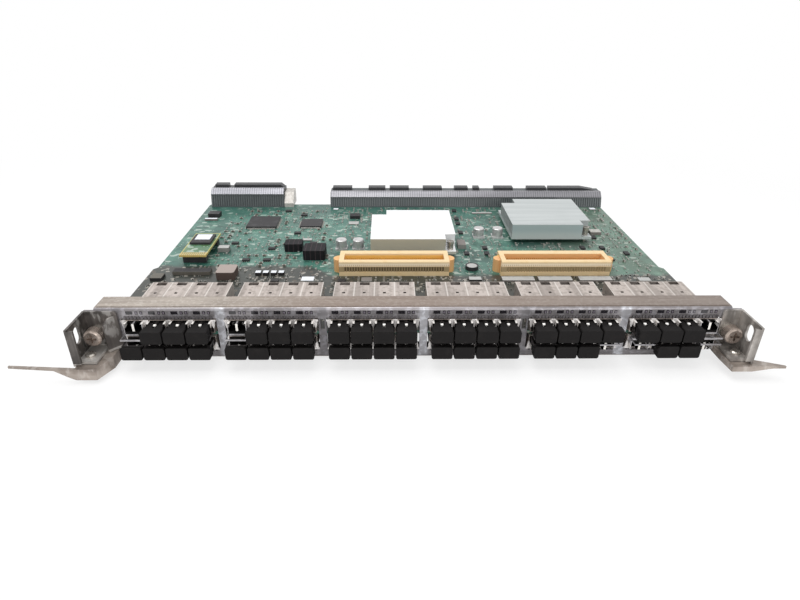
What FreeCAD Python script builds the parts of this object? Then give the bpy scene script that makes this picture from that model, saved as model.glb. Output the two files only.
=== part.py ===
import FreeCAD, Part
import math
import os

# Switch line card: a circuit board behind a sheet-metal faceplate, with six belly-to-belly groups of
# pluggable transceivers at the front and right-angle backplane connectors along the back edge.
# Millimetres.  X runs along the faceplate, ports face -Y, the component side is +Z.  The origin is
# the middle of the faceplate's front face, level with the board's component side.

V = FreeCAD.Vector

# ---- clearances -----------------------------------------------------------------------------
running_gap = 0.05          # radial, pins and shanks in their own bores
side_gap = 0.3              # between pieces of different bodies
seat_gap = 0.15             # a module beside its cage wall, a lens in its window
cut_past = 20.0             # how far a long cutting tool runs past its piece

# ---- board ----------------------------------------------------------------------------------
board_t = 2.4
board_side_gap = 0.5        # board edge inside the flange ends, beside the cages
board_step_in = 3.0         # narrower on each side where the board runs in the card guides
board_step_y = 100.0
board_step_run = 3.0        # length of the slanted step
board_back_y = 255.5
board_corner_r = 3.0
board_to_plate = 0.4        # air between faceplate and board edge
guide_hole_r = 1.6
guide_hole_x = 190.0
guide_hole_back = 14.0      # from the back edge

# ---- faceplate ------------------------------------------------------------------------------
sheet_t = 1.5
plate_ear = 6.5             # faceplate past the flange at each end
plate_top = 17.6
plate_bottom = -19.4
flange_half = 205.0
flange_depth = 16.4
bend_r = 2.0
gasket_t = 0.7
gasket_margin = 1.6
slotted_posts = (2, 4)      # strips between groups with an upright slot
post_slot_w = 2.8
post_slot_low = 1.5
post_slot_high = 9.5
tie_posts = (1, 3, 5)       # strips between groups with a tie behind them

# ---- transceivers and cages -----------------------------------------------------------------
port_pitch = 14.25
ports_per_group = 4
group_count = 6
group_pitch = 65.45
port_offset = 5.0           # the whole port field sits right of the middle
cage_wall = 0.4
module_w = 13.4
module_h = 8.5
cage_len = 54.5
cage_out = 1.0              # cage mouth in front of the faceplate
mouth_side_gap = 1.6        # faceplate opening beside the cages
mouth_end_gap = 0.5         # and above and below them
bay_top_gap = 0.45
host_len = 9.0              # room behind a module for the board's own connector
roof_notch_w = 7.0
roof_notch_len = 5.0
roof_hole_w = 2.0
roof_hole_back = 15.8
nose_out = 5.0              # module face in front of the faceplate
nose_w = 12.0
lc_pitch = 6.25
lc_w = 4.8
lc_h = 5.0
lc_depth = 9.0
lc_floor = 3.1              # bottom of the fibre socket above the module's underside
latch_w = 3.0
latch_len = 3.2

# ---- dust plugs -----------------------------------------------------------------------------
plug_w = 13.3
plug_h = 8.7
plug_len = 6.0
plug_out = 4.4              # grip behind face to module face
plug_r = 1.3
peg_w = 4.5
peg_h = 4.6
peg_in = 5.0

# ---- bail latches ---------------------------------------------------------------------------
bail_w = 0.6                # sheet width across X of an arm
bail_t = 0.9
bail_over = 0.4             # loop past the module's far face when latched
bail_eye_r = 0.45
bail_pin_y = 2.1            # pivot behind the module face
bail_pin_z = 0.65           # pivot above the module's underside

# ---- indicator windows ----------------------------------------------------------------------
window_z = 14.4
window_h = 2.3
slot_window_w = 4.4
square_window_w = 1.9
slot_window_x = -3.0        # from the port's middle
square_window_x = (1.6, 4.6)
lens_out = 0.15
pipe_len = 4.5

# ---- ejectors -------------------------------------------------------------------------------
bracket_t = 1.5
bracket_over = 0.5          # bracket's outer face past the faceplate's end
bracket_reach = 24.5
bracket_top = 16.0
bracket_lip = 5.0
floor_w = 13.0
left_bracket_w = 21.5
right_bracket_w = 12.8
bracket_corner_r = 2.5
wing_len = 9.5              # slanting tab beside the left screw
wing_slant = 49.0           # degrees off the faceplate
wing_top = 13.3
wing_corner = 4.0
oval_w = 7.0
oval_h = 11.4
oval_y = 14.6               # in front of the faceplate
oval_z = 6.8
bracket_floor_z = -8.2
lever_t = 1.5
lever_front = 27.5
lever_w = 19.4              # bracket's outer face in to the left claw's inner edge
lever_waist_w = 13.8
lever_back = 2.2
left_tail = (41.0, 22.5)    # tail tip, past the bracket and forward
right_tail = (20.0, 26.2)
left_tail_root = 25.6       # forward to where the tail leaves the bracket's side
right_tail_root = 18.3
left_rim = 7.8
right_rim = 3.7
tail_taper = 13.0           # length over which the rim dies away
tail_tip_w = 1.3
pivot_in = 6.0
pivot_y = 14.0
pivot_r = 2.0
pivot_head_r = 3.2
pivot_head_h = 1.6
lever_end_gap = 1.0         # claw short of the bracket's outer face
lever_corner = 3.0
claw_notch_in = 21.0        # faceplate corners cut away from here out, for the claws

# ---- captive screws -------------------------------------------------------------------------
screw_in = 7.9
screw_z = 2.15
screw_head_r = 5.7
screw_head_len = 6.5
screw_head_edge = 1.2
screw_neck_r = 3.0
screw_shank_r = 1.95        # outside of the thread
screw_relief_r = 1.5        # plain shank between head and thread, which keeps the screw captive
screw_relief_gap = 0.6      # from the back of the faceplate to the thread
screw_tip = 9.0             # behind the faceplate's front
screw_point = 0.6
sleeve_r = 4.6
sleeve_len = 3.6
cross_w = 1.3
cross_len = 6.2
cross_depth = 2.2
screw_hole_gap = 0.35

# ---- heat sinks -----------------------------------------------------------------------------
sink_w = 71.0
sink_d = 71.0
sink_z = 3.0
sink_base_t = 2.4
sink_h = 13.7
sink_skin = 0.8
fin_count = 21
fin_t = 0.8
back_notch = (13.0, 12.0)   # at the back left corner
front_notch = (9.0, 11.0)   # at the front right corner
left_sink_at = (-32.5, 119.0)
right_sink_at = (91.0, 152.0)
die_w = 42.5
die_lid_w = 32.0
die_base_t = 1.4
sink_screw_r = 1.5
sink_screw_head_r = 2.9
sink_screw_head_t = 2.0
spring_r = 2.6
spring_t = 0.7
spring_len = 5.2

# ---- mezzanine connectors -------------------------------------------------------------------
mezz_w = 85.5
mezz_d = 22.0
mezz_h = 12.4
mezz_edge = 0.8
mezz_ear = 4.9
mezz_ear_h = 10.5
mezz_slot = (78.0, 11.4, 8.0)
mezz_slot_back = 7.0
mezz_window = (1.4, 4.1, 0.8)
mezz_window_z = 5.65
mezz_contacts = 38
mezz_pitch = 2.05
left_mezz_at = (-13.3, 83.8)
right_mezz_at = (112.8, 83.5)

# ---- backplane connectors -------------------------------------------------------------------
conn_front_y = 247.0
conn_out = 13.0             # housing past the board's back edge
left_conn_in = 3.5          # from the board's left edge to the housing
left_conn_h = 16.5
left_housing_w = 37.0
left_housings = 2
right_conn_over = 0.5       # housing past the board's right edge
right_conn_h = 13.6
right_housing_w = 31.0
right_housings = 9
wafer_pitch = 2.3
wafer_groove = 0.9
groove_depth = 0.9
conn_lean = 3.0
groove_low = 0.8            # groove ends short of the housing's foot and shoulder
groove_high = 0.6
hood_h = 3.0
hood_len = 8.0
hood_in = 0.5
# hoods on the housings: from, to and length of the slope at the right end, from the row's left end
left_hoods = ((2.6, 16.0, 0.0), (22.1, 72.5, 3.0))
right_hoods = ((2.0, 21.6, 0.0), (38.8, 56.2, 0.0), (60.6, 80.5, 0.0), (95.2, 114.8, 0.0),
               (127.9, 141.7, 0.0), (147.3, 153.6, 0.0), (169.2, 188.7, 0.0), (203.7, 223.6, 0.0),
               (226.4, 274.0, 14.0))
mate_wall = 1.6
mate_depth = 7.0
strip_t = 1.2
strip_h = 3.8
guide_w = 9.0
guide_low = 3.0             # below the top of the left housings
guide_front_h = 4.0
guide_bore_r = 2.6
conn_drop = 1.5             # housing below the board's underside

# ---- parts on the board ---------------------------------------------------------------------
daughter_at = (-186.0, 106.5)
daughter_size = (21.5, 48.0, 1.6)
daughter_z = 6.2
daughter_chip = (17.0, 19.0, 2.0)
daughter_chip_end = 7.0     # from the card's back edge
socket_d = 6.0
socket_in = 1.5             # from the card's long sides
socket_end = 3.0            # and from its ends
chips = ((-136.0, 199.0, 28.0, 2.4), (-90.5, 197.0, 20.0, 2.0))
inductors = ((-98.5, 137.0, 15.0, 12.0, 7.0), (-79.0, 122.0, 18.0, 17.0, 8.5),
             (-142.5, 84.0, 14.0, 15.0, 6.5))
chip_corner = 0.4
inductor_corner = 1.2
cans = ((-58.0, 138.0), (-43.5, 138.0), (63.5, 165.0), (80.5, 165.0))
can_r = 4.7
can_h = 9.0
can_base = 10.0
can_base_t = 1.6
can_edge = 0.6
tie_w = 5.0
tie_t = 1.5
tie_len = 14.0
tie_screw_in = 9.1          # from the back of the faceplate
tie_h = 11.0
tie_screw_r = 1.4
tie_screw_head_r = 2.6
tie_screw_head_t = 1.6

# ---- worked-out places ----------------------------------------------------------------------
board_mid = -board_t / 2
plate_half = flange_half + plate_ear
board_front_half = flange_half - board_side_gap
board_rear_half = board_front_half - board_step_in
bracket_outer = plate_half + bracket_over
floor_inner = bracket_outer - floor_w
left_inner = bracket_outer - left_bracket_w
right_inner = bracket_outer - right_bracket_w
lever_waist = bracket_outer - lever_waist_w
pivot_x = bracket_outer - pivot_in
claw_notch = bracket_outer - claw_notch_in
screw_x = bracket_outer - screw_in
left_conn_x = left_conn_in - board_rear_half
left_conn_end = left_conn_x + left_housings * left_housing_w
right_conn_end = board_rear_half + right_conn_over
right_conn_x = right_conn_end - right_housings * right_housing_w
left_conn = (left_conn_x, left_conn_end, left_conn_h, left_housings, left_hoods)
right_conn = (right_conn_x, right_conn_end, right_conn_h, right_housings, right_hoods)
board_front_y = sheet_t + board_to_plate
conn_back_y = board_back_y + conn_out
bay_w = module_w + 2 * seat_gap
bay_h = module_h + bay_top_gap
cage_w = (ports_per_group - 1) * port_pitch + bay_w + 2 * cage_wall
cage_h = bay_h + 2 * cage_wall
cage_back_y = cage_len - cage_out
module_back_y = cage_back_y - host_len
module_z = cage_wall
face_y = -nose_out
plug_back_y = face_y - plug_out
plug_front_y = plug_back_y - plug_len
peg_z = module_z + lc_floor + (lc_h - peg_h) / 2
plug_z = module_z + module_h / 2 - plug_h / 2
bail_reach = module_h - bail_pin_z + bail_over
lever_top = bracket_floor_z - bracket_t - side_gap
corner_notch_x = screw_x - screw_shank_r - 3.0
corner_notch_y = screw_tip + 6.0
open_ports = (("top", 0, 0), ("top", 1, 0), ("top", 5, 3),
              ("bottom", 4, 3), ("bottom", 5, 0), ("bottom", 5, 3))


# ---- small tools ----------------------------------------------------------------------------
def block(x0, x1, y0, y1, z0, z1):
    return Part.makeBox(x1 - x0, y1 - y0, z1 - z0, V(x0, y0, z0))


def rod_y(x, z, r, y0, y1):
    return Part.makeCylinder(r, y1 - y0, V(x, y0, z), V(0, 1, 0))


def rod_z(x, y, r, z0, z1):
    return Part.makeCylinder(r, z1 - z0, V(x, y, z0), V(0, 0, 1))


def rod_x(y, z, r, x0, x1):
    return Part.makeCylinder(r, x1 - x0, V(x0, y, z), V(1, 0, 0))


def profile_yz(points, x0, x1):
    wire = Part.makePolygon([V(x0, y, z) for y, z in points + points[:1]])
    return Part.Face(wire).extrude(V(x1 - x0, 0, 0))


def profile_xz(points, y0, y1):
    wire = Part.makePolygon([V(x, y0, z) for x, z in points + points[:1]])
    return Part.Face(wire).extrude(V(0, y1 - y0, 0))


def plan(points, z0, z1):
    wire = Part.makePolygon([V(x, y, z0) for x, y in points + points[:1]])
    return Part.Face(wire).extrude(V(0, 0, z1 - z0))


def fuse(shapes):
    return shapes[0].multiFuse(shapes[1:]).removeSplitter() if len(shapes) > 1 else shapes[0]


def edges_along(shape, axis, keep):
    """Straight edges parallel to axis whose middle passes the test keep."""
    chosen = []
    for edge in shape.Edges:
        run = edge.Vertexes[-1].Point - edge.Vertexes[0].Point
        if run.Length > 1e-6 and abs(abs(run.normalize().dot(axis)) - 1) < 1e-6:
            if keep(edge.CenterOfMass):
                chosen.append(edge)
    return chosen


def to_underside(shape):
    """The same piece on the solder side, mirrored about the board's middle plane."""
    return shape.mirror(V(0, 0, board_mid), V(0, 0, 1))


def to_left(shape):
    return shape.mirror(V(0, 0, 0), V(1, 0, 0))


def on_side(shape, side):
    return shape if side == "right" else to_left(shape)


def on_row(shape, row):
    return shape if row == "top" else to_underside(shape)


def save(name, shapes):
    body = shapes if isinstance(shapes, list) else [shapes]
    item = body[0] if len(body) == 1 else Part.makeCompound(body)
    item.exportStep("parts/" + name + ".step")


def group_x(group):
    return port_offset + (group - (group_count - 1) / 2) * group_pitch


def port_x(group, port):
    return group_x(group) + (port - (ports_per_group - 1) / 2) * port_pitch


def lever_inner(side):
    """The claw's inner edge.  The right one stays beside the last port's bail, so that both can swing."""
    last_bail = port_x(group_count - 1, ports_per_group - 1) + nose_w / 2 + bail_w
    return last_bail + 2 * side_gap if side == "right" else bracket_outer - lever_w


def post_x(index):
    """Middle of the strip of faceplate between groups index - 1 and index."""
    return (group_x(index - 1) + group_x(index)) / 2


# ---- board and faceplate --------------------------------------------------------------------
def make_board():
    outline = [(-corner_notch_x, board_front_y), (corner_notch_x, board_front_y),
               (corner_notch_x, corner_notch_y), (board_front_half, corner_notch_y),
               (board_front_half, board_step_y - board_step_run), (board_rear_half, board_step_y),
               (board_rear_half, board_back_y), (-board_rear_half, board_back_y),
               (-board_rear_half, board_step_y), (-board_front_half, board_step_y - board_step_run),
               (-board_front_half, corner_notch_y), (-corner_notch_x, corner_notch_y)]
    board = plan(outline, -board_t, 0)
    back = edges_along(board, V(0, 0, 1), lambda c: c.y > board_back_y - 1)
    board = board.makeFillet(board_corner_r, back)
    holes = [rod_z(guide_hole_x, board_back_y - guide_hole_back, guide_hole_r, -board_t, 0)]
    holes += [rod_z(x, y, sink_screw_r + running_gap, -board_t, 0) for x, y in sink_screw_places()]
    holes += [rod_z(post_x(i), tie_screw_y(), tie_screw_r + running_gap, -board_t, 0) for i in tie_posts]
    return board.cut(Part.makeCompound(holes))


def make_faceplate():
    mouth_half = cage_w / 2 + mouth_side_gap
    mouth_top = cage_h + mouth_end_gap
    mouth_low = 2 * board_mid - mouth_top
    channel = block(-flange_half, flange_half, 0, flange_depth, plate_bottom, plate_top)
    channel = channel.cut(block(-flange_half, flange_half, sheet_t, flange_depth,
                                plate_bottom + sheet_t, plate_top - sheet_t))
    bends = edges_along(channel, V(1, 0, 0),
                        lambda c: c.y < 0.01 and abs(c.z) > plate_top - 0.01)
    channel = channel.makeFillet(bend_r, bends)
    inner = edges_along(channel, V(1, 0, 0),
                        lambda c: abs(c.y - sheet_t) < 0.01 and abs(c.z) > plate_top - sheet_t - 0.01)
    channel = channel.makeFillet(bend_r - sheet_t, inner)
    ends = []
    for sign in (-1, 1):
        low, high = sorted((sign * flange_half, sign * plate_half))
        ends.append(block(low, high, 0, sheet_t, bracket_floor_z - bracket_t, bracket_top))
    plate = fuse([channel] + ends)
    cuts = [block(group_x(g) - mouth_half, group_x(g) + mouth_half, -1, sheet_t + 1, mouth_low, mouth_top)
            for g in range(group_count)]
    for g in range(group_count):
        for p in range(ports_per_group):
            cuts += [block(x - w / 2, x + w / 2, -1, sheet_t + 1,
                           window_z - window_h / 2, window_z + window_h / 2) for x, w in window_places(g, p)]
    for sign in (-1, 1):
        low, high = sorted((sign * claw_notch, sign * (plate_half + 1)))
        cuts.append(block(low, high, -1, flange_depth + 1, plate_bottom - 1, lever_top + side_gap))
        cuts.append(rod_y(sign * screw_x, screw_z, screw_shank_r + screw_hole_gap, -1, sheet_t + 1))
    cuts += [block(post_x(i) - post_slot_w / 2, post_x(i) + post_slot_w / 2, -1, sheet_t + 1,
                   post_slot_low, post_slot_high) for i in slotted_posts]
    return plate.cut(Part.makeCompound(cuts))


def make_gaskets():
    back = flange_depth - gasket_margin
    top_half = flange_half - gasket_margin
    top = block(-top_half, top_half, bend_r, back, plate_top, plate_top + gasket_t)
    low_half = claw_notch - gasket_margin
    low = block(-low_half, low_half, bend_r, back, plate_bottom - gasket_t, plate_bottom)
    return [top, low]


# ---- cages, modules, plugs, bails -----------------------------------------------------------
def make_cage(group):
    middle = group_x(group)
    cage = block(middle - cage_w / 2, middle + cage_w / 2, -cage_out, cage_back_y, 0, cage_h)
    cuts = []
    hole_back = cage_back_y - roof_hole_back
    for port in range(ports_per_group):
        x = port_x(group, port)
        cuts.append(block(x - bay_w / 2, x + bay_w / 2, -cage_out - 1, cage_back_y - cage_wall,
                          cage_wall, cage_wall + bay_h))
        cuts.append(block(x - roof_notch_w / 2, x + roof_notch_w / 2, cage_back_y - roof_notch_len,
                          cage_back_y - cage_wall, bay_h, cage_h + 1))
        cuts.append(block(x - roof_hole_w / 2, x + roof_hole_w / 2, hole_back - roof_hole_w, hole_back,
                          bay_h, cage_h + 1))
    return cage.cut(Part.makeCompound(cuts))


def make_module(group, port, with_pins):
    """One transceiver.  Only a bail that can swing needs its side pins."""
    x = port_x(group, port)
    top = module_z + module_h
    body = block(x - module_w / 2, x + module_w / 2, side_gap - cage_out, module_back_y, module_z, top)
    nose = block(x - nose_w / 2, x + nose_w / 2, face_y, 0, module_z, top)
    pins = rod_x(face_y + bail_pin_y, module_z + bail_pin_z, bail_eye_r,
                 x - nose_w / 2 - bail_w, x + nose_w / 2 + bail_w)
    socket_z = module_z + lc_floor
    cuts = []
    for sign in (-1, 1):
        middle = x + sign * lc_pitch / 2
        cuts.append(block(middle - lc_w / 2, middle + lc_w / 2, face_y - 1, face_y + lc_depth,
                          socket_z, socket_z + lc_h))
        cuts.append(block(middle - latch_w / 2, middle + latch_w / 2, face_y - 1, face_y + latch_len,
                          socket_z, top + 1))
    solids = [body, nose, pins] if with_pins else [body, nose]
    return fuse(solids).cut(Part.makeCompound(cuts))


def make_plug(group, port):
    x = port_x(group, port)
    grip = block(x - plug_w / 2, x + plug_w / 2, plug_front_y, plug_back_y, plug_z, plug_z + plug_h)
    grip = grip.makeFillet(plug_r, edges_along(grip, V(0, 1, 0), lambda c: True))
    bail_z = module_z + bail_pin_z + bail_t / 2
    bail_front = face_y + bail_pin_y - bail_reach - bail_t
    relief = block(x - plug_w, x + plug_w, bail_front - side_gap, plug_back_y + 1,
                   plug_z - 1, bail_z + side_gap)
    grip = grip.cut(relief)
    pegs = [block(x + sign * lc_pitch / 2 - peg_w / 2, x + sign * lc_pitch / 2 + peg_w / 2,
                  plug_back_y - 1, face_y + peg_in, peg_z, peg_z + peg_h) for sign in (-1, 1)]
    return fuse([grip] + pegs)


def make_bail(group, port):
    """A stamped loop that swings on the nose's side pins, shown let down in front of the face."""
    x = port_x(group, port)
    y, z = face_y + bail_pin_y, module_z + bail_pin_z
    inner = nose_w / 2 + running_gap
    front = y - bail_reach
    arms = []
    for sign in (-1, 1):
        a, b = sorted((x + sign * inner, x + sign * (inner + bail_w - running_gap)))
        eye = rod_x(y, z, bail_eye_r + running_gap + 0.25, a, b)
        arm = block(a, b, front, y, z - bail_t / 2, z + bail_t / 2)
        arms.append(fuse([eye, arm]).cut(rod_x(y, z, bail_eye_r + running_gap, a - 1, b + 1)))
    bar = block(x - inner - bail_w + running_gap, x + inner + bail_w - running_gap,
                front - bail_t, front, z - bail_t / 2, z + bail_t / 2)
    return fuse(arms + [bar])


def make_plugged_bail(group, port):
    """The same loop where a plug blocks it, without the eyes that nothing shows."""
    x = port_x(group, port)
    y, z = face_y + bail_pin_y, module_z + bail_pin_z
    inner = nose_w / 2 + running_gap
    front = y - bail_reach
    outer = inner + bail_w - running_gap
    back = y - bail_eye_r - side_gap
    loop = block(x - outer, x + outer, front - bail_t, back, z - bail_t / 2, z + bail_t / 2)
    return loop.cut(block(x - inner, x + inner, front, y, z - bail_t, z + bail_t))


# ---- indicators -----------------------------------------------------------------------------
def window_places(group, port):
    x = port_x(group, port)
    return [(x + slot_window_x, slot_window_w)] + [(x + dx, square_window_w) for dx in square_window_x]


def make_light_pipe(group):
    """One clear moulding per group: a bar standing on the cage roof, with a lens for each window."""
    middle = group_x(group)
    half = cage_w / 2 - 1
    bar = block(middle - half, middle + half, sheet_t, sheet_t + pipe_len, cage_h, window_z + window_h / 2)
    half_h = window_h / 2 - seat_gap
    lenses = []
    for port in range(ports_per_group):
        for x, w in window_places(group, port):
            half_w = w / 2 - seat_gap
            lenses.append(block(x - half_w, x + half_w, -lens_out, sheet_t,
                                window_z - half_h, window_z + half_h))
    return fuse([bar] + lenses)


# ---- ejectors (drawn for the right side, mirrored for the left) -----------------------------
def make_wing(inner):
    """An upright tab that slants forward from the back plate's inner edge, one top corner cut off."""
    tab = profile_xz([(0, bracket_floor_z - bracket_t), (wing_len, bracket_floor_z - bracket_t),
                      (wing_len, wing_top - wing_corner), (wing_len - wing_corner, wing_top), (0, wing_top)],
                     0, bracket_t)
    tab.rotate(V(0, 0, 0), V(0, 0, 1), -wing_slant)
    tab.translate(V(inner, -bracket_t, 0))
    return tab


def make_bracket(side):
    inner = right_inner if side == "right" else left_inner
    back = block(inner, bracket_outer, -bracket_t, 0, bracket_floor_z - bracket_t, bracket_top)
    wall = block(bracket_outer - bracket_t, bracket_outer, -bracket_reach, 0,
                 bracket_floor_z - bracket_t, bracket_top)
    lip = block(bracket_outer - bracket_lip, bracket_outer, -bracket_reach, -bracket_reach + bracket_t,
                bracket_floor_z, bracket_top - 1)
    floor = block(floor_inner, bracket_outer, -bracket_reach + bracket_t + 1, 0,
                  bracket_floor_z - bracket_t, bracket_floor_z)
    pieces = [back, wall, lip, floor]
    if side == "left":
        pieces.append(make_wing(inner))
    bracket = fuse(pieces)
    oval_in, oval_out = bracket_outer - bracket_t - 1, bracket_outer + 1
    straight = (oval_h - oval_w) / 2
    oval = fuse([rod_x(-oval_y, oval_z - straight, oval_w / 2, oval_in, oval_out),
                 rod_x(-oval_y, oval_z + straight, oval_w / 2, oval_in, oval_out),
                 block(oval_in, oval_out, -oval_y - oval_w / 2, oval_w / 2 - oval_y,
                       oval_z - straight, oval_z + straight)])
    cuts = [oval, rod_y(screw_x, screw_z, screw_shank_r + screw_hole_gap, -bracket_t - 1, 1),
            rod_z(pivot_x, -pivot_y, pivot_r, bracket_floor_z - bracket_t - 1, bracket_floor_z + 1)]
    bracket = bracket.cut(Part.makeCompound(cuts))
    corner = edges_along(bracket, V(0, 1, 0), lambda c: c.z > bracket_top - 0.01 and c.x < inner + 0.01)
    bracket = bracket.makeFillet(bracket_corner_r, corner)
    return on_side(bracket, side)


def make_lever(side):
    """A stamped plate under the bracket floor, with a turned-down rim that dies away along the tail."""
    left = side == "left"
    past, forward = left_tail if left else right_tail
    root = left_tail_root if left else right_tail_root
    rim_low = lever_top - (left_rim if left else right_rim)
    tip = bracket_outer + past
    claw_in = lever_inner(side)
    claw_out = bracket_outer - lever_end_gap
    shoulder = bracket_outer + lever_corner
    edge = [(claw_in, -lever_back), (claw_in, -pivot_y), (lever_waist, -lever_front),
            (shoulder, -lever_front), (tip, -forward - tail_tip_w)]
    outline = edge + [(tip, -forward), (claw_out, -root), (claw_out, -lever_back - lever_corner),
                      (claw_out - lever_corner, -lever_back)]
    plate = plan(outline, lever_top - lever_t, lever_top)
    inside = [(tip, -forward), (shoulder, lever_t - lever_front),
              (lever_waist + lever_t / 2, lever_t - lever_front), (claw_in + lever_t, -pivot_y),
              (claw_in + lever_t, -lever_back)]
    rim = plan(edge + inside, rim_low, lever_top)
    under = profile_xz([(claw_out, rim_low), (claw_out + tail_taper, lever_top - lever_t),
                        (tip + cut_past, lever_top - lever_t), (tip + cut_past, rim_low - cut_past),
                        (claw_out, rim_low - cut_past)], -lever_front - cut_past, 0)
    lever = fuse([plate, rim.cut(under)])
    lever = lever.cut(rod_z(pivot_x, -pivot_y, pivot_r + running_gap, rim_low, lever_top + 1))
    return on_side(lever, side)


def make_lever_pivot(side):
    """A shouldered rivet: head on the bracket floor, foot under the lever plate."""
    foot_z = lever_top - lever_t - side_gap
    pin = rod_z(pivot_x, -pivot_y, pivot_r, foot_z - 1.0, bracket_floor_z + 0.5)
    head = rod_z(pivot_x, -pivot_y, pivot_head_r, bracket_floor_z, bracket_floor_z + pivot_head_h)
    rounded = [e for e in head.Edges if e.CenterOfMass.z > bracket_floor_z + pivot_head_h - 0.1]
    head = head.makeChamfer(pivot_head_h / 2, rounded)
    foot = rod_z(pivot_x, -pivot_y, pivot_head_r, foot_z - 1.0, foot_z)
    return on_side(fuse([pin, head, foot]), side)


def make_captive_screw(side):
    head_back = -bracket_t - sleeve_len - side_gap
    head_front = head_back - screw_head_len
    head = rod_y(screw_x, screw_z, screw_head_r, head_front, head_back)
    rounded = [e for e in head.Edges if e.CenterOfMass.y < head_front + 0.1 and e.Closed]
    head = head.makeChamfer(screw_head_edge, rounded)
    neck = rod_y(screw_x, screw_z, screw_neck_r, head_back - 0.5, -bracket_t - 0.2)
    thread_back = sheet_t + screw_relief_gap
    shank = rod_y(screw_x, screw_z, screw_relief_r, head_back, thread_back)
    thread = rod_y(screw_x, screw_z, screw_shank_r, thread_back, screw_tip)
    point = [e for e in thread.Edges if e.Closed and e.CenterOfMass.y > screw_tip - 0.1]
    thread = thread.makeChamfer(screw_point, point)
    cross = [block(screw_x - a / 2, screw_x + a / 2, head_front - 1, head_front + cross_depth,
                   screw_z - b / 2, screw_z + b / 2) for a, b in ((cross_w, cross_len), (cross_len, cross_w))]
    return on_side(fuse([head, neck, shank, thread]).cut(Part.makeCompound(cross)), side)


def make_screw_sleeve(side):
    ring = rod_y(screw_x, screw_z, sleeve_r, -bracket_t - sleeve_len, -bracket_t)
    ring = ring.cut(rod_y(screw_x, screw_z, screw_neck_r + running_gap, -bracket_t - sleeve_len - 1, 0))
    return on_side(ring, side)


# ---- heat sinks -----------------------------------------------------------------------------
def sink_screw_places():
    places = []
    for x0, y0 in (left_sink_at, right_sink_at):
        places.append((x0 + back_notch[0] / 2, y0 + sink_d - back_notch[1] / 2))
        places.append((x0 + sink_w - front_notch[0] / 2, y0 + front_notch[1] / 2))
    return places


def make_heat_sink(corner):
    """Base plate under a bank of flanged fins: the flanges close the top, and the channels run along X."""
    x0, y0 = corner
    x1, y1 = x0 + sink_w, y0 + sink_d
    low, top = sink_z + sink_base_t, sink_z + sink_h
    base = block(x0, x1, y0, y1, sink_z, low)
    bank = block(x0, x1, y0, y1, low, top)
    pitch = (sink_d - fin_t) / fin_count
    channels = [block(x0 - 1, x1 + 1, y0 + fin_t + i * pitch, y0 + (i + 1) * pitch, low, top - sink_skin)
                for i in range(fin_count)]
    notches = [block(x0 - 1, x0 + back_notch[0], y1 - back_notch[1], y1 + 1, low, top + 1),
               block(x1 - front_notch[0], x1 + 1, y0 - 1, y0 + front_notch[1], low, top + 1)]
    bank = bank.cut(Part.makeCompound(channels)).cut(Part.makeCompound(notches))
    holes = [rod_z(x, y, sink_screw_r + running_gap, sink_z - 1, low + 1) for x, y in sink_screw_places()
             if x0 < x < x1]
    return fuse([base, bank]).cut(Part.makeCompound(holes))


def make_switch_chip(corner):
    x, y = corner[0] + sink_w / 2, corner[1] + sink_d / 2
    base = block(x - die_w / 2, x + die_w / 2, y - die_w / 2, y + die_w / 2, 0, die_base_t)
    lid = block(x - die_lid_w / 2, x + die_lid_w / 2, y - die_lid_w / 2, y + die_lid_w / 2, 0, sink_z)
    return fuse([base, lid])


def make_sink_screw(x, y):
    head_z = sink_z + sink_base_t + spring_len
    shank = rod_z(x, y, sink_screw_r, -board_t - 1.2, head_z + 0.5)
    return fuse([shank, rod_z(x, y, sink_screw_head_r, head_z, head_z + sink_screw_head_t)])


def make_sink_spring(x, y):
    low = sink_z + sink_base_t
    return rod_z(x, y, spring_r, low, low + spring_len).cut(rod_z(x, y, spring_r - spring_t, low - 1,
                                                                  low + spring_len + 1))


# ---- connectors -----------------------------------------------------------------------------
def make_mezzanine(place):
    x, y0 = place
    x0, x1, y1 = x - mezz_w / 2, x + mezz_w / 2, y0 + mezz_d
    ear_y = y0 + mezz_d / 2
    pieces = [block(x0, x1, y0, y1, 0, mezz_h)]
    for end in (x0, x1):
        pieces.append(rod_z(end, ear_y, mezz_ear, 0, mezz_ear_h))
    slot_w, slot_d, slot_deep = mezz_slot
    cuts = [block(x - slot_w / 2, x + slot_w / 2, y1 - mezz_slot_back - slot_d, y1 - mezz_slot_back,
                  mezz_h - slot_deep, mezz_h + 1)]
    w, h, deep = mezz_window
    low = mezz_window_z - h / 2
    for i in range(mezz_contacts):
        left = x + (i - (mezz_contacts - 1) / 2) * mezz_pitch - w / 2
        cuts.append(block(left, left + w, y0 - 1, y0 + deep, low, low + h))
    body = fuse(pieces)
    top = edges_along(body, V(1, 0, 0), lambda c: c.z > mezz_h - 0.01)
    body = body.makeChamfer(mezz_edge, top)
    return body.cut(Part.makeCompound(cuts))


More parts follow.
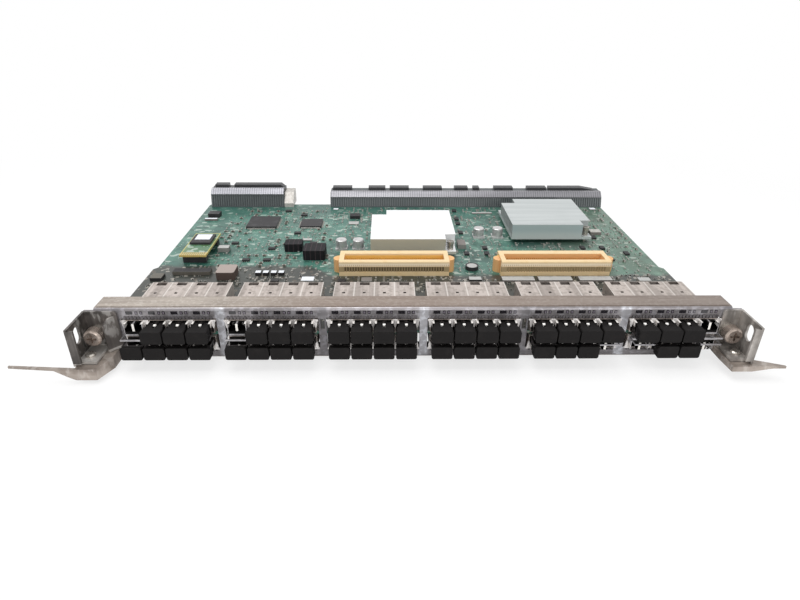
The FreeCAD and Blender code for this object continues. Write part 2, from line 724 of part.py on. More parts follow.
def make_backplane_row(spec):
    """Right-angle wafer housings side by side: ribbed sloping front, hooded mating face at the back."""
    x0, x1, height, count, hoods = spec
    width = (x1 - x0) / count
    slope_y = conn_front_y + conn_lean
    drop_y = board_back_y + side_gap
    low = -board_t - conn_drop
    section = [(conn_front_y, 0), (slope_y, height - strip_h), (slope_y + strip_h, height),
               (conn_back_y, height), (conn_back_y, low), (drop_y, low), (drop_y, 0)]
    row = profile_yz(section, x0, x1)
    cuts = []
    wafers = int((x1 - x0) / wafer_pitch) - 1
    start = (x0 + x1 - (wafers - 1) * wafer_pitch) / 2
    groove_top = height - strip_h - groove_high
    groove = [(conn_front_y - 1, groove_low), (conn_front_y + groove_depth, groove_low),
              (slope_y + groove_depth / 2, groove_top), (conn_front_y - 1, groove_top)]
    for i in range(wafers):
        x = start + i * wafer_pitch
        cuts.append(profile_yz(groove, x - wafer_groove / 2, x + wafer_groove / 2))
    for i in range(count):
        a = x0 + i * width
        cuts.append(block(a + mate_wall, a + width - mate_wall, conn_back_y - mate_depth, conn_back_y + 1,
                          -board_t, height - mate_wall))
    caps = []
    for begin, end, slope in hoods:
        outline = [(x0 + begin, height - hood_in), (x0 + end, height - hood_in), (x0 + end, height + hood_in),
                   (x0 + end - slope, height + hood_h), (x0 + begin, height + hood_h)]
        caps.append(profile_xz(outline, conn_back_y - hood_len, conn_back_y))
    return fuse([row] + caps).cut(Part.makeCompound(cuts))


def make_stiffener_strip(spec):
    """The bent metal strip that ties the wafers along the housing's sloped shoulder."""
    x0, x1, height = spec[:3]
    y, z = conn_front_y + conn_lean, height - strip_h
    run = strip_h
    t = strip_t
    section = [(y, z), (y + run, z + strip_h), (y + run + 3, z + strip_h), (y + run + 3, z + strip_h + t),
               (y + run - t * 0.4, z + strip_h + t), (y - t, z + t * 0.4), (y - t, z)]
    return profile_yz(section, x0 + 0.5, x1 - 0.5)


def make_guide_block():
    x0 = left_conn[1] + side_gap
    x1 = x0 + guide_w
    height = left_conn[2] - guide_low
    section = [(conn_front_y, 0), (conn_front_y, guide_front_h), (board_back_y, height),
               (conn_back_y, height), (conn_back_y, 0)]
    body = profile_yz(section, x0, x1)
    bore = rod_y((x0 + x1) / 2, height * 0.5, guide_bore_r, board_back_y, conn_back_y + 1)
    return body.cut(bore)


# ---- parts on the board ---------------------------------------------------------------------
def make_daughter_card():
    x, y = daughter_at
    w, d, t = daughter_size
    return block(x, x + w, y, y + d, daughter_z, daughter_z + t)


def make_daughter_sockets():
    x, y = daughter_at
    w, d, t = daughter_size
    x0, x1 = x + socket_in, x + w - socket_in
    front, back = y + socket_end, y + d - socket_end - socket_d
    return [block(x0, x1, y0, y0 + socket_d, 0, daughter_z) for y0 in (front, back)]


def make_daughter_chip():
    x, y = daughter_at
    w, d, t = daughter_size
    cw, cd, ct = daughter_chip
    back = y + d - daughter_chip_end
    z = daughter_z + t
    return block(x + (w - cw) / 2, x + (w + cw) / 2, back - cd, back, z, z + ct)


def make_chip(x, y, size, height):
    body = block(x - size / 2, x + size / 2, y - size / 2, y + size / 2, 0, height)
    return body.makeChamfer(chip_corner, edges_along(body, V(0, 0, 1), lambda c: True))


def make_inductor(x, y, w, d, h):
    body = block(x - w / 2, x + w / 2, y - d / 2, y + d / 2, 0, h)
    return body.makeChamfer(inductor_corner, edges_along(body, V(0, 0, 1), lambda c: True))


def make_can(x, y):
    half = can_base / 2
    base = block(x - half, x + half, y - half, y + half, 0, can_base_t)
    can = rod_z(x, y, can_r, can_base_t, can_h)
    can = can.makeChamfer(can_edge, [e for e in can.Edges if e.Closed and e.CenterOfMass.z > can_h - 0.1])
    return fuse([base, can])


def tie_screw_y():
    return sheet_t + tie_screw_in


def make_tie(index):
    """Angle that ties the faceplate to the board between two cages."""
    x = post_x(index)
    foot = block(x - tie_w / 2, x + tie_w / 2, sheet_t, sheet_t + tie_len, 0, tie_t)
    leg = block(x - tie_w / 2, x + tie_w / 2, sheet_t, sheet_t + tie_t, 0, tie_h)
    return fuse([foot, leg]).cut(rod_z(x, tie_screw_y(), tie_screw_r + running_gap, -1, tie_t + 1))


def make_tie_screw(index):
    x, y = post_x(index), tie_screw_y()
    shank = rod_z(x, y, tie_screw_r, -board_t - 1.0, tie_t + 0.5)
    return fuse([shank, rod_z(x, y, tie_screw_head_r, tie_t, tie_t + tie_screw_head_t)])


# ---- build ----------------------------------------------------------------------------------
def main():
    os.makedirs("parts", exist_ok=True)
    save("circuit_board", make_board())
    save("faceplate", make_faceplate())
    save("emi_gaskets", make_gaskets())
    plugged = {"top": [], "bottom": []}
    plugs = {"top": [], "bottom": []}
    blocked_bails = []
    for row in ("top", "bottom"):
        for group in range(group_count):
            save("sfp_cage_%s_%d" % (row, group + 1), on_row(make_cage(group), row))
            for port in range(ports_per_group):
                is_open = (row, group, port) in open_ports
                module = on_row(make_module(group, port, is_open), row)
                if is_open:
                    tag = "%s_%d%s" % (row, group + 1, "abcd"[port])
                    save("open_transceiver_" + tag, module)
                    save("bail_" + tag, on_row(make_bail(group, port), row))
                    continue
                plugged[row].append(module)
                plugs[row].append(on_row(make_plug(group, port), row))
                blocked_bails.append(on_row(make_plugged_bail(group, port), row))
    for row in ("top", "bottom"):
        save("plugged_transceivers_" + row, plugged[row])
        save("dust_plugs_" + row, plugs[row])
    save("bails_behind_plugs", blocked_bails)
    save("light_pipes", [make_light_pipe(group) for group in range(group_count)])
    for side in ("left", "right"):
        save("ejector_bracket_" + side, make_bracket(side))
        save("ejector_lever_" + side, make_lever(side))
        save("captive_screw_" + side, make_captive_screw(side))
    save("lever_pivots", [make_lever_pivot(side) for side in ("left", "right")])
    save("screw_sleeves", [make_screw_sleeve(side) for side in ("left", "right")])
    save("heat_sink_left", make_heat_sink(left_sink_at))
    save("heat_sink_right", make_heat_sink(right_sink_at))
    save("switch_chips", [make_switch_chip(left_sink_at), make_switch_chip(right_sink_at)])
    save("heat_sink_screws", [make_sink_screw(x, y) for x, y in sink_screw_places()])
    save("heat_sink_springs", [make_sink_spring(x, y) for x, y in sink_screw_places()])
    save("mezzanine_connector_left", make_mezzanine(left_mezz_at))
    save("mezzanine_connector_right", make_mezzanine(right_mezz_at))
    save("backplane_connector_left", make_backplane_row(left_conn))
    save("backplane_connector_right", make_backplane_row(right_conn))
    save("connector_strips", [make_stiffener_strip(left_conn), make_stiffener_strip(right_conn)])
    save("guide_block", make_guide_block())
    save("daughter_card", make_daughter_card())
    save("daughter_sockets", make_daughter_sockets())
    save("daughter_chip", make_daughter_chip())
    save("control_chips", [make_chip(*chip) for chip in chips])
    save("power_inductors", [make_inductor(*inductor) for inductor in inductors])
    save("capacitor_cans", [make_can(x, y) for x, y in cans])
    save("board_ties", [make_tie(index) for index in tie_posts])
    save("tie_screws", [make_tie_screw(index) for index in tie_posts])


main()
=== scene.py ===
import math
import random

import bpy
from mathutils import Matrix, Vector


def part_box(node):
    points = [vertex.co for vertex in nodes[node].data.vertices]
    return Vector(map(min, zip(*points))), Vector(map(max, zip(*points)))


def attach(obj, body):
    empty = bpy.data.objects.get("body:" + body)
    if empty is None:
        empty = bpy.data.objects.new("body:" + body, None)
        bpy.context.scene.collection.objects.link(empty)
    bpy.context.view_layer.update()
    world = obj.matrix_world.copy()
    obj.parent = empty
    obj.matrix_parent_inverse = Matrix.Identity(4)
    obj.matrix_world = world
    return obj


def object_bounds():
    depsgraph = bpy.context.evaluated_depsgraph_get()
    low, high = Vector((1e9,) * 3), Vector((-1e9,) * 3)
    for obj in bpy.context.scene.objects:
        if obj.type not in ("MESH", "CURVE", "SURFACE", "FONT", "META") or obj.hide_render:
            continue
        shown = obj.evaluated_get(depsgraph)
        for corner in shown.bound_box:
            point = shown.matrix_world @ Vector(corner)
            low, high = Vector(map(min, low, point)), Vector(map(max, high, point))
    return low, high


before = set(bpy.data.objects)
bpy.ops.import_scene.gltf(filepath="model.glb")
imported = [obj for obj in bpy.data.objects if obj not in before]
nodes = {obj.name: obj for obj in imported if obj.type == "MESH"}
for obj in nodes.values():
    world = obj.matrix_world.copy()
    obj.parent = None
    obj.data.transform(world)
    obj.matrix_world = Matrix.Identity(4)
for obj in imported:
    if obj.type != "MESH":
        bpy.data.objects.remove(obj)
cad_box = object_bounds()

# Switch line card: finishes for the CAD pieces, and the small parts that sit on the board, in the
# sockets and round the cage mouths.  Metres, in the frame of the CAD model: ports face -Y, the
# component side of the board is at Z = 0.

MM = 0.001
PORT_PITCH = 14.25 * MM
GROUP_PITCH = 65.45 * MM
FIRST_PORT = -180.0 * MM
GROUPS = 6
PORTS = 4
FIELD_START = FIRST_PORT - PORT_PITCH / 2    # left edge of the first port's share
SOCKET_SIDE = 3.125 * MM    # a fibre socket's middle from the middle of its port
SOCKET_Z = 5.6 * MM         # and from the face of its module that lies towards the board
WINDOW_Z = 14.4 * MM        # middle of the indicator windows
BOARD_T = 2.4 * MM
BOARD_HALF = 201.5 * MM     # half the board's width behind the ports
FIN_PITCH = 71 / 21 * MM
WAFER_PITCH = 2.3 * MM
SCREW_X = 204.1 * MM
SCREW_Z = 2.15 * MM


# ---- shader maths ---------------------------------------------------------------------------
class Wire:
    """A value inside a material.  The operators add Math nodes, so shader maths reads as sums."""

    def __init__(self, finish, socket):
        self.finish = finish
        self.socket = socket

    def math(self, operation, *others):
        return self.finish.node("Math", {"operation": operation}, self, *others)

    def __add__(self, other):
        return self.math("ADD", other)

    def __sub__(self, other):
        return self.math("SUBTRACT", other)

    def __rsub__(self, other):
        return self.finish.node("Math", {"operation": "SUBTRACT"}, other, self)

    def __mul__(self, other):
        return self.math("MULTIPLY", other)

    def __truediv__(self, other):
        return self.math("DIVIDE", other)

    def __gt__(self, other):
        return self.math("GREATER_THAN", other)

    def __lt__(self, other):
        return self.math("LESS_THAN", other)

    __radd__ = __add__

    def stripes(self, pitch, share):
        """1 over the given share of every pitch, else 0."""
        return (self / pitch).math("FRACT") < share

    def ease(self, low, high):
        """Rises smoothly from 0 at low to 1 at high."""
        settings = {"interpolation_type": "SMOOTHSTEP"}
        return self.finish.node("MapRange", settings, self, low, high, 0.0, 1.0)

    def size(self):
        return self.math("ABSOLUTE")

    def between(self, low, high):
        """1 from low to high, else 0."""
        return (self > low) * (self < high)


class Finish:
    """A material: one method makes its nodes, and feed() sets or links the surface's sockets."""

    def __init__(self, name, colour, roughness, metallic=0.0, coat=0.0):
        self.material = bpy.data.materials.new(name)
        self.material.use_nodes = True
        self.tree = self.material.node_tree
        self.surface = self.tree.nodes["Principled BSDF"]
        self.colour = colour
        self.feed("Base Color", colour)
        self.feed("Roughness", roughness)
        self.feed("Metallic", metallic)
        self.feed("Coat Weight", coat)

    def put(self, socket, value):
        if isinstance(value, Wire):
            self.tree.links.new(value.socket, socket)
        else:
            socket.default_value = value

    def node(self, kind, settings, *values, output=0, **by_name):
        """Adds a node.  Values fill its inputs in order, and the others by their names."""
        node = self.tree.nodes.new("ShaderNode" + kind)
        for key, setting in settings.items():
            setattr(node, key, setting)
        for socket, value in zip(node.inputs, values):
            self.put(socket, value)
        for key, value in by_name.items():
            self.put(node.inputs[key], value)
        return Wire(self, node.outputs[output])

    def feed(self, name, value):
        self.put(self.surface.inputs[name], value)

    def place(self, stretch=(1.0, 1.0, 1.0)):
        spot = self.node("TexCoord", {}, output="Object")
        return self.node("Mapping", {}, spot, Scale=stretch)

    def axes(self):
        spot = self.place()
        return [self.node("SeparateXYZ", {}, spot, output=axis) for axis in "XYZ"]

    def noise(self, scale, detail, stretch=(1.0, 1.0, 1.0)):
        return self.node("TexNoise", {}, Vector=self.place(stretch), Scale=scale, Detail=detail)

    def group_offset(self, x):
        """How far x lies from the start of its group of ports, in metres."""
        start = x - FIELD_START
        return start - (start / GROUP_PITCH).math("FLOOR") * GROUP_PITCH

    def port_offset(self, x):
        """How far x lies from the middle of its port, in metres."""
        return (self.group_offset(x) / PORT_PITCH).math("FRACT") * PORT_PITCH - PORT_PITCH / 2

    def cells(self, scale, output="Distance", stretch=(1.0, 1.0, 1.0), **settings):
        return self.node("TexVoronoi", settings, Vector=self.place(stretch), Scale=scale, output=output)

    def blend(self, amount, first, second):
        """Colour: first where amount is 0, second where it is 1."""
        mix = self.tree.nodes.new("ShaderNodeMix")
        mix.data_type = "RGBA"
        for index, value in ((0, amount), (6, first), (7, second)):
            self.put(mix.inputs[index], value)
        return Wire(self, mix.outputs[2])

    def tint(self, amount, colour):
        """Lays colour over what Base Color has so far, by amount."""
        self.colour = self.blend(amount, self.colour, colour)
        self.feed("Base Color", self.colour)

    def bump(self, height, depth, strength):
        self.feed("Normal", self.node("Bump", {}, Strength=strength, Distance=depth, Height=height))


def paint(red, green, blue):
    """A screen colour, 0 to 255 a channel, as the shader's linear colour."""
    shades = [channel / 255 for channel in (red, green, blue)]
    linear = [c / 12.92 if c <= 0.04045 else ((c + 0.055) / 1.055) ** 2.4 for c in shades]
    return (*linear, 1.0)


# ---- finishes -------------------------------------------------------------------------------
def board_laminate(name="solder_mask", green=(58, 108, 96), shade=(30, 74, 64)):
    """Green solder mask over copper: poured areas, bundles of tracks, tinned vias and white print."""
    finish = Finish(name, paint(*green), 0.42, coat=0.2)
    x, y, z = finish.axes()
    finish.tint(finish.noise(26.0, 5.0).ease(0.36, 0.66), paint(*shade))
    finish.tint(finish.noise(90.0, 4.0).ease(0.52, 0.7) * 0.5, paint(116, 160, 142))
    pick = finish.cells(90.0, output="Color", distance="CHEBYCHEV")
    choice = finish.node("SeparateColor", {}, pick, output="Red")
    along_x = y.stripes(0.9 * MM, 0.45) * (choice < 0.33)
    along_y = x.stripes(0.9 * MM, 0.45) * (choice > 0.66)
    tracks = along_x + along_y
    finish.tint(tracks * 0.3, paint(112, 160, 142))
    vias = finish.cells(330.0) < 0.16
    finish.tint(vias * 0.8, paint(186, 196, 182))
    marks = finish.cells(210.0, output="Color", distance="CHEBYCHEV", stretch=(1.0, 1.7, 1.0))
    mark = finish.node("SeparateColor", {}, marks, output="Blue")
    finish.tint((mark > 0.93) * 0.55, paint(196, 208, 198))
    finish.tint((mark < 0.06) * 0.6, paint(30, 54, 48))
    finish.bump(tracks, 0.05 * MM, 0.4)
    return finish, x, y, z


def circuit_board_finish():
    """The main board.  Behind the cages a dark brown band of painted shade, deeper in at the left, and a
    painted shadow in front of each heat sink.
    """
    finish, x, y, z = board_laminate()
    reach = 85 * MM + (1.0 - x.ease(-85 * MM, -60 * MM)) * (17 * MM)
    wander = (finish.noise(60.0, 3.0) - 0.5) * (14 * MM)
    painted_shade_band = 1.0 - (y - reach + wander).ease(-3 * MM, 4 * MM)
    top = z > -0.5 * MM
    # Painted shade: the board behind the cages is darkened to dark brown, with pale and brown flecks laid
    # over it.
    finish.tint(painted_shade_band * top * 0.94, paint(44, 42, 38))
    grit = finish.cells(400.0, output="Color")
    light = finish.node("SeparateColor", {}, grit, output="Green")
    finish.tint(painted_shade_band * (light > 0.9) * 0.6, paint(176, 170, 160))
    finish.tint(painted_shade_band * light.between(0.5, 0.56) * 0.5, paint(96, 84, 72))
    finish.tint(y.ease(205 * MM, 245 * MM) * 0.5, paint(38, 80, 72))
    # Painted shadow: the board in front of each heat sink is darkened to a deep teal.
    for name in ("heat_sink_left", "heat_sink_right"):
        low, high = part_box(name)
        past = (x - (low.x + high.x) / 2).size() - (high.x - low.x) / 2
        beside = 1.0 - past.ease(-3 * MM, 5 * MM)
        ahead = (y - (low.y - 18 * MM)).ease(0.0, 10 * MM) * (y < low.y + 4 * MM)
        finish.tint(beside * ahead * 0.85, paint(6, 50, 48))
    right = x.ease(60 * MM, 190 * MM) * (1.0 - painted_shade_band)
    finish.tint(right * 0.3, paint(112, 118, 96))
    return finish.material


def rolled_metal(name, colour, dark, roughness, along, metallic, coarse=240.0, depth=0.0, contrast=0.7):
    """Sheet with fine streaks along one axis, and slow patches of light and shade."""
    finish = Finish(name, paint(*colour), roughness, metallic)
    stretch = [1.0, 1.0, 1.0]
    stretch["XYZ".index(along)] = 0.06
    streaks = finish.noise(coarse, 5.0, tuple(stretch))
    finish.tint(streaks.ease(0.38, 0.68) * contrast, paint(*dark))
    patches = finish.noise(30.0, 2.0)
    finish.tint(patches.ease(0.5, 0.8) * 0.3, paint(*dark))
    finish.feed("Roughness", streaks * 0.18 + (roughness - 0.09))
    if depth:
        finish.bump(streaks, depth, 0.5)
    return finish


def cast_metal(name, colour, dark, roughness, metallic):
    """Cast or plated metal with a fine mottle."""
    finish = Finish(name, paint(*colour), roughness, metallic)
    mottle = finish.noise(420.0, 4.0)
    finish.tint(mottle.ease(0.4, 0.7) * 0.6, paint(*dark))
    finish.feed("Roughness", mottle * 0.2 + (roughness - 0.1))
    finish.bump(mottle, 0.03 * MM, 0.4)
    return finish


def moulded(name, colour, worn, roughness, coat=0.0, gloss=0.5):
    """Plastic or rubber with a fine grain and slightly paler rubbed patches."""
    finish = Finish(name, paint(*colour), roughness, coat=coat)
    finish.feed("Specular IOR Level", gloss)
    rubbed = finish.noise(160.0, 4.0)
    finish.tint(rubbed.ease(0.5, 0.78) * 0.5, paint(*worn))
    fine = finish.noise(900.0, 2.0)
    finish.feed("Roughness", fine * 0.14 + (roughness - 0.07))
    finish.bump(fine, 0.02 * MM, 0.35)
    return finish


def faceplate_finish():
    """Plated sheet: lilac grey on the front, warmer and streaked on the flanges, duller to the right, with a
    painted highlight on every other post between the port groups and the other posts painted darker.
    """
    finish = rolled_metal("plated_sheet", (142, 138, 140), (100, 96, 97), 0.38, "X", 0.6)
    x, y, _ = finish.axes()
    blotch = finish.noise(260.0, 4.0).ease(0.48, 0.62)
    front = 1.0 - y.ease(1.0 * MM, 2.4 * MM)
    finish.tint(front * blotch * 0.35, paint(186, 184, 190))
    # Painted highlight on every other post between the port groups; the other posts are painted darker.
    gap = finish.group_offset(x)
    between = gap.ease(57.2 * MM, 59.4 * MM) * (1.0 - gap.ease(63.6 * MM, 65.4 * MM))
    highlight_post = (x - FIELD_START).stripes(2 * GROUP_PITCH, 0.5)
    finish.tint(front * between * (highlight_post * 0.75 + 0.25) * (blotch * 0.4 + 0.35), paint(208, 210, 216))
    finish.tint(front * between * (1.0 - highlight_post) * 0.4, paint(70, 66, 68))
    flange = 1.0 - front
    finish.tint(flange * 0.9, paint(158, 146, 136))
    grain = finish.noise(700.0, 3.0, (0.12, 1.0, 1.0)).ease(0.42, 0.6)
    finish.tint(flange * grain * 0.4, paint(120, 112, 104))
    finish.tint(flange * x.ease(-150 * MM, -40 * MM) * 0.62, paint(104, 80, 68))
    finish.tint(flange * x.ease(0.0, 200 * MM) * 0.35, paint(110, 106, 104))
    return finish.material


def gasket_finish():
    """Conductive fabric strip over foam, with a fine weave along the strip, duller to the right."""
    finish = rolled_metal("conductive_fabric", (172, 162, 152), (124, 114, 106), 0.5, "X", 0.3,
                          coarse=300.0, depth=0.05 * MM)
    x, y, _ = finish.axes()
    weave = x.stripes(0.8 * MM, 0.5) * 0.5 + y.stripes(0.8 * MM, 0.5) * 0.5
    finish.tint(weave * 0.18, paint(116, 108, 102))
    finish.tint(finish.noise(520.0, 3.0).ease(0.5, 0.62) * 0.3, paint(206, 200, 192))
    finish.tint(x.ease(-150 * MM, -40 * MM) * 0.5, paint(112, 90, 78))
    finish.tint(x.ease(0.0, 200 * MM) * 0.3, paint(112, 108, 106))
    return finish.material


def cage_finish():
    """Stamped cage sheet, dappled with painted reflections of the parts behind it, and a painted highlight
    along the seams of the cage tops.
    """
    finish = rolled_metal("cage_sheet", (200, 189, 182), (142, 132, 126), 0.32, "Y", 0.6, 200.0)
    x, y, _ = finish.axes()
    # Painted reflections of the parts behind, as a darker dapple.
    finish.tint(finish.noise(330.0, 4.0).ease(0.5, 0.62) * 0.4, paint(128, 118, 108))
    # Painted highlight along the seams between the cages, on the rear of the tops.
    seam_highlight = finish.port_offset(x).size() > PORT_PITCH / 2 - 0.5 * MM
    finish.tint(seam_highlight * (y > 20 * MM) * 0.6, paint(232, 226, 220))
    finish.tint(x.ease(20 * MM, 190 * MM) * 0.12, paint(128, 120, 108))
    return finish.material


def transceiver_finish(name, colour, dark):
    """Die-cast body.  Its face is black plastic but for a white bar between the two fibre sockets, a painted
    highlight on the web there.
    """
    finish = cast_metal(name, colour, dark, 0.36, 0.6)
    finish.feed("Specular IOR Level", 0.12)
    x, y, z = finish.axes()
    offset = finish.port_offset(x).size()
    height = (z + BOARD_T / 2).size()
    beside = (offset - SOCKET_SIDE).size() < 2.65 * MM
    socket = beside * (y > -4.95 * MM) * (y < 16 * MM) * height.between(4.4 * MM, 10.3 * MM)
    face = (y < -4.9 * MM) * (height > 2.9 * MM) * (offset < 5.6 * MM)
    black = socket + face * (1.0 - socket)
    finish.tint(black, paint(9, 8, 8))
    # Painted highlight: the web between the two fibre sockets is painted near white.
    face_web_highlight = face * (offset < 0.8 * MM) * (height > 5.0 * MM)
    finish.tint(face_web_highlight, paint(250, 246, 240))
    corner = (offset > 4.7 * MM) * y.between(-4.8 * MM, -0.6 * MM) * (height > 7.0 * MM)
    finish.tint(corner * 0.9, paint(236, 232, 228))
    finish.feed("Metallic", (1.0 - black) * 0.6)
    return finish.material


def light_pipe_finish():
    """Smoky clear moulding: a dark bar window and two paler square ones at each port."""
    finish = moulded("light_pipe_plastic", (30, 27, 32), (48, 44, 50), 0.2, 0.4)
    x, _, z = finish.axes()
    offset = finish.port_offset(x)
    square = ((offset - 1.6 * MM).size() < 0.5 * MM) + ((offset - 4.6 * MM).size() < 0.5 * MM)
    finish.tint(square * (z - WINDOW_Z).size().ease(0.9 * MM, 0.5 * MM) * 0.8, paint(128, 120, 130))
    return finish.material


def bracket_finish(name, colour, dark, along, shine, foot):
    """Bright stainless sheet: broad painted dark reflections broken by painted glints in light streaks."""
    finish = rolled_metal(name, colour, dark, 0.34, along, 0.4, 130.0)
    # Painted dark reflections in broad patches, then painted glints as light streaks.
    dark_reflection = finish.noise(80.0, 3.0).ease(0.44, 0.58)
    finish.tint(dark_reflection * 0.42, paint(*dark))
    glint = finish.noise(230.0, 4.0, (1.0, 1.0, 0.4)).ease(0.54, 0.66)
    finish.tint(glint * shine, paint(236, 232, 227))
    z = finish.axes()[2]
    floor = z.between(-9.9 * MM, -7.9 * MM)
    finish.tint(floor * foot, paint(232, 228, 222))
    return finish.material


def mezzanine_finish():
    """Cream housing: orange in the slot, a row of contact tips painted pale as painted light on the shaded
    front face, and a row of windows below darkened as painted shade.
    """
    finish = moulded("connector_cream", (228, 202, 158), (216, 182, 126), 0.5)
    x, y, z = finish.axes()
    low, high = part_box("mezzanine_connector_left")
    slot = y.between(high.y - 18.3 * MM, high.y - 7.1 * MM) * (z < high.z - 0.3 * MM)
    finish.tint(slot * 0.9, paint(222, 170, 112))
    front = y < low.y + 1.3 * MM
    # Painted light: the contact tips on the front face are tinted near white, to lift that face out of its
    # shade.
    lit_tips = front * z.between(8.2 * MM, 10.6 * MM)
    finish.tint(lit_tips * 0.6, paint(255, 244, 222))
    finish.tint(lit_tips * x.stripes(1.5 * MM, 0.4) * (z < 9.6 * MM) * 0.55, paint(176, 140, 96))
    # Painted shade: the row of windows is darkened, deepest in the pits behind the front face.
    windows = front * z.between(3.6 * MM, 7.7 * MM)
    finish.tint(windows * 0.75, paint(136, 118, 84))
    pit = y > low.y + 0.5 * MM
    finish.tint(windows * pit * 0.8, paint(84, 70, 48))
    ears = (high.z - z).ease(1.2 * MM, 1.7 * MM) * y.between(low.y + 5 * MM, high.y - 5 * MM)
    finish.tint(ears * (1.0 - slot) * 0.85, paint(238, 188, 84))
    return finish.material


def backplane_finish():
    """Charcoal wafers: dull greenish face, darker hoods."""
    finish = moulded("wafer_plastic", (58, 64, 66), (82, 88, 90), 0.48, 0.1)
    x, y, z = finish.axes()
    face = (y < 251 * MM) * (z > 1 * MM)
    finish.tint(face * x.stripes(WAFER_PITCH, 0.4) * 0.5, paint(108, 116, 116))
    finish.tint((z > 13.8 * MM) * 0.6, paint(46, 41, 43))
    return finish.material


def strip_finish():
    """Strip cut into segments, one to each wafer, duller on the long row."""
    finish = rolled_metal("tin_strip", (160, 160, 166), (128, 128, 134), 0.36, "X", 0.5)
    x = finish.axes()[0]
    finish.tint(x.ease(-120 * MM, -80 * MM) * 0.5, paint(124, 122, 124))
    finish.tint(x.stripes(WAFER_PITCH, 0.2) * 0.8, paint(66, 66, 72))
    return finish.material


def heat_sink_finish(name, node, colour, dark, front):
    """Powder-coated fin bank.  The face towards the ports carries painted reflection and shade, and is paler
    along its foot.
    """
    finish = rolled_metal(name, colour, dark, 0.44, "X", 0.2, 160.0)
    _, y, z = finish.axes()
    low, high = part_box(node)
    finish.tint(y.stripes(FIN_PITCH, 0.12) * (z > high.z - 0.8 * MM) * 0.16, paint(150, 154, 158))
    # Painted reflection and shade: the face towards the ports takes the darker front colour.
    face_reflection_shade = (y < low.y + 0.4 * MM) * (z < high.z - 0.3 * MM)
    finish.tint(face_reflection_shade * 0.9, paint(*front))
    foot = (high.z - z).ease(4 * MM, 12 * MM)
    finish.tint(face_reflection_shade * foot * 0.35, paint(226, 228, 222))
    return finish.material


def daughter_card_finish():
    """Small card: green mask, bare yellowish edge and gold fingers along the front."""
    finish, x, y, _ = board_laminate("daughter_mask", (112, 136, 84), (70, 104, 66))
    low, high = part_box("daughter_card")
    edge = 0.9 * MM
    rim = 1.0 - x.between(low.x + edge, high.x - edge) * y.between(low.y + edge, high.y - edge)
    finish.tint(rim * 0.8, paint(188, 180, 106))
    fingers = (y < low.y + 6 * MM) * x.stripes(1.6 * MM, 0.6)
    finish.tint(fingers * 0.85, paint(206, 168, 96))
    return finish.material


def inductor_finish():
    """Black ferrite; the block nearest the cages has a pinkish grey lid on a brown front."""
    finish = moulded("inductor_core", (22, 21, 24), (38, 38, 42), 0.6, gloss=0.2)
    x, _, z = finish.axes()
    pale = x < -125 * MM
    finish.tint(pale * 0.8, paint(96, 82, 76))
    finish.tint(pale * (z > 6.2 * MM) * 0.9, paint(168, 156, 150))
    finish.tint(x.stripes(4.1 * MM, 0.1) * (1.0 - pale) * 0.4, paint(96, 78, 84))
    return finish.material


def screw_finish():
    """Plated screw with a knurl round its head."""
    finish = cast_metal("plated_screw", (178, 164, 154), (112, 100, 92), 0.3, 0.75)
    x, _, z = finish.axes()
    across = x.size() - SCREW_X
    height = z - SCREW_Z
    turn = height.math("ARCTAN2", across)
    knurl = turn.stripes(math.tau / 40, 0.5)
    rim = (across * across + height * height).math("SQRT") > 5.2 * MM
    finish.bump(knurl * rim, 0.25 * MM, 0.7)
    # Painted shade in the grooves of the knurl round the head.
    finish.tint(rim * (1.0 - knurl) * 0.5, paint(84, 76, 70))
    return finish.material


def dress(material, *names):
    """Puts a material on every slot of the named CAD nodes."""
    for name in names:
        for place in nodes[name].material_slots:
            place.material = material


def named(start):
    """The CAD nodes whose names start so."""
    return [name for name in nodes if name.startswith(start)]


def dress_front():
    dress(faceplate_finish(), "faceplate")
    dress(gasket_finish(), "emi_gaskets")
    dress(cage_finish(), *named("sfp_cage_"))
    dress(transceiver_finish("open_module", (196, 194, 196), (138, 134, 136)), *named("open_transceiver_"))
    dress(transceiver_finish("plugged_module", (52, 48, 47), (34, 31, 31)), *named("plugged_transceivers_"))
    plug = moulded("plug_rubber", (19, 17, 17), (32, 29, 28), 0.6, gloss=0.15)
    dress(plug.material, *named("dust_plugs_"))
    bail = rolled_metal("bail_wire", (176, 174, 176), (120, 118, 122), 0.3, "Y", 0.8)
    dress(bail.material, *[name for name in named("bail_") if name != "bails_behind_plugs"])
    # Painted shade: the bails behind the plugs get a darker copy of the bail steel.
    shaded = rolled_metal("bail_shaded_copy", (84, 80, 80), (50, 47, 47), 0.36, "Y", 0.6)
    dress(shaded.material, "bails_behind_plugs")
    dress(light_pipe_finish(), "light_pipes")


def dress_brackets():
    # The two brackets are one stainless: the left gets a darker copy as painted shade, the right a brighter
    # copy as painted light.
    dress(bracket_finish("bracket_shaded_copy", (112, 106, 102), (34, 31, 29), "Z", 0.32, 0.5),
          "ejector_bracket_left")
    dress(bracket_finish("bracket_lit_copy", (186, 180, 174), (90, 85, 81), "Z", 0.3, 0.0),
          "ejector_bracket_right")
    dress(bracket_finish("lever_stainless", (172, 161, 152), (106, 95, 87), "X", 0.2, 0.0),
          "ejector_lever_left", "ejector_lever_right")
    dress(screw_finish(), "captive_screw_left", "captive_screw_right")
    rivet = cast_metal("rivet_steel", (196, 190, 182), (140, 132, 124), 0.24, 0.8)
    dress(rivet.material, "lever_pivots", "screw_sleeves", "tie_screws",
          "heat_sink_screws", "heat_sink_springs")
    tie = rolled_metal("tie_steel", (180, 178, 176), (140, 138, 136), 0.36, "Z", 0.8)
    dress(tie.material, "board_ties")


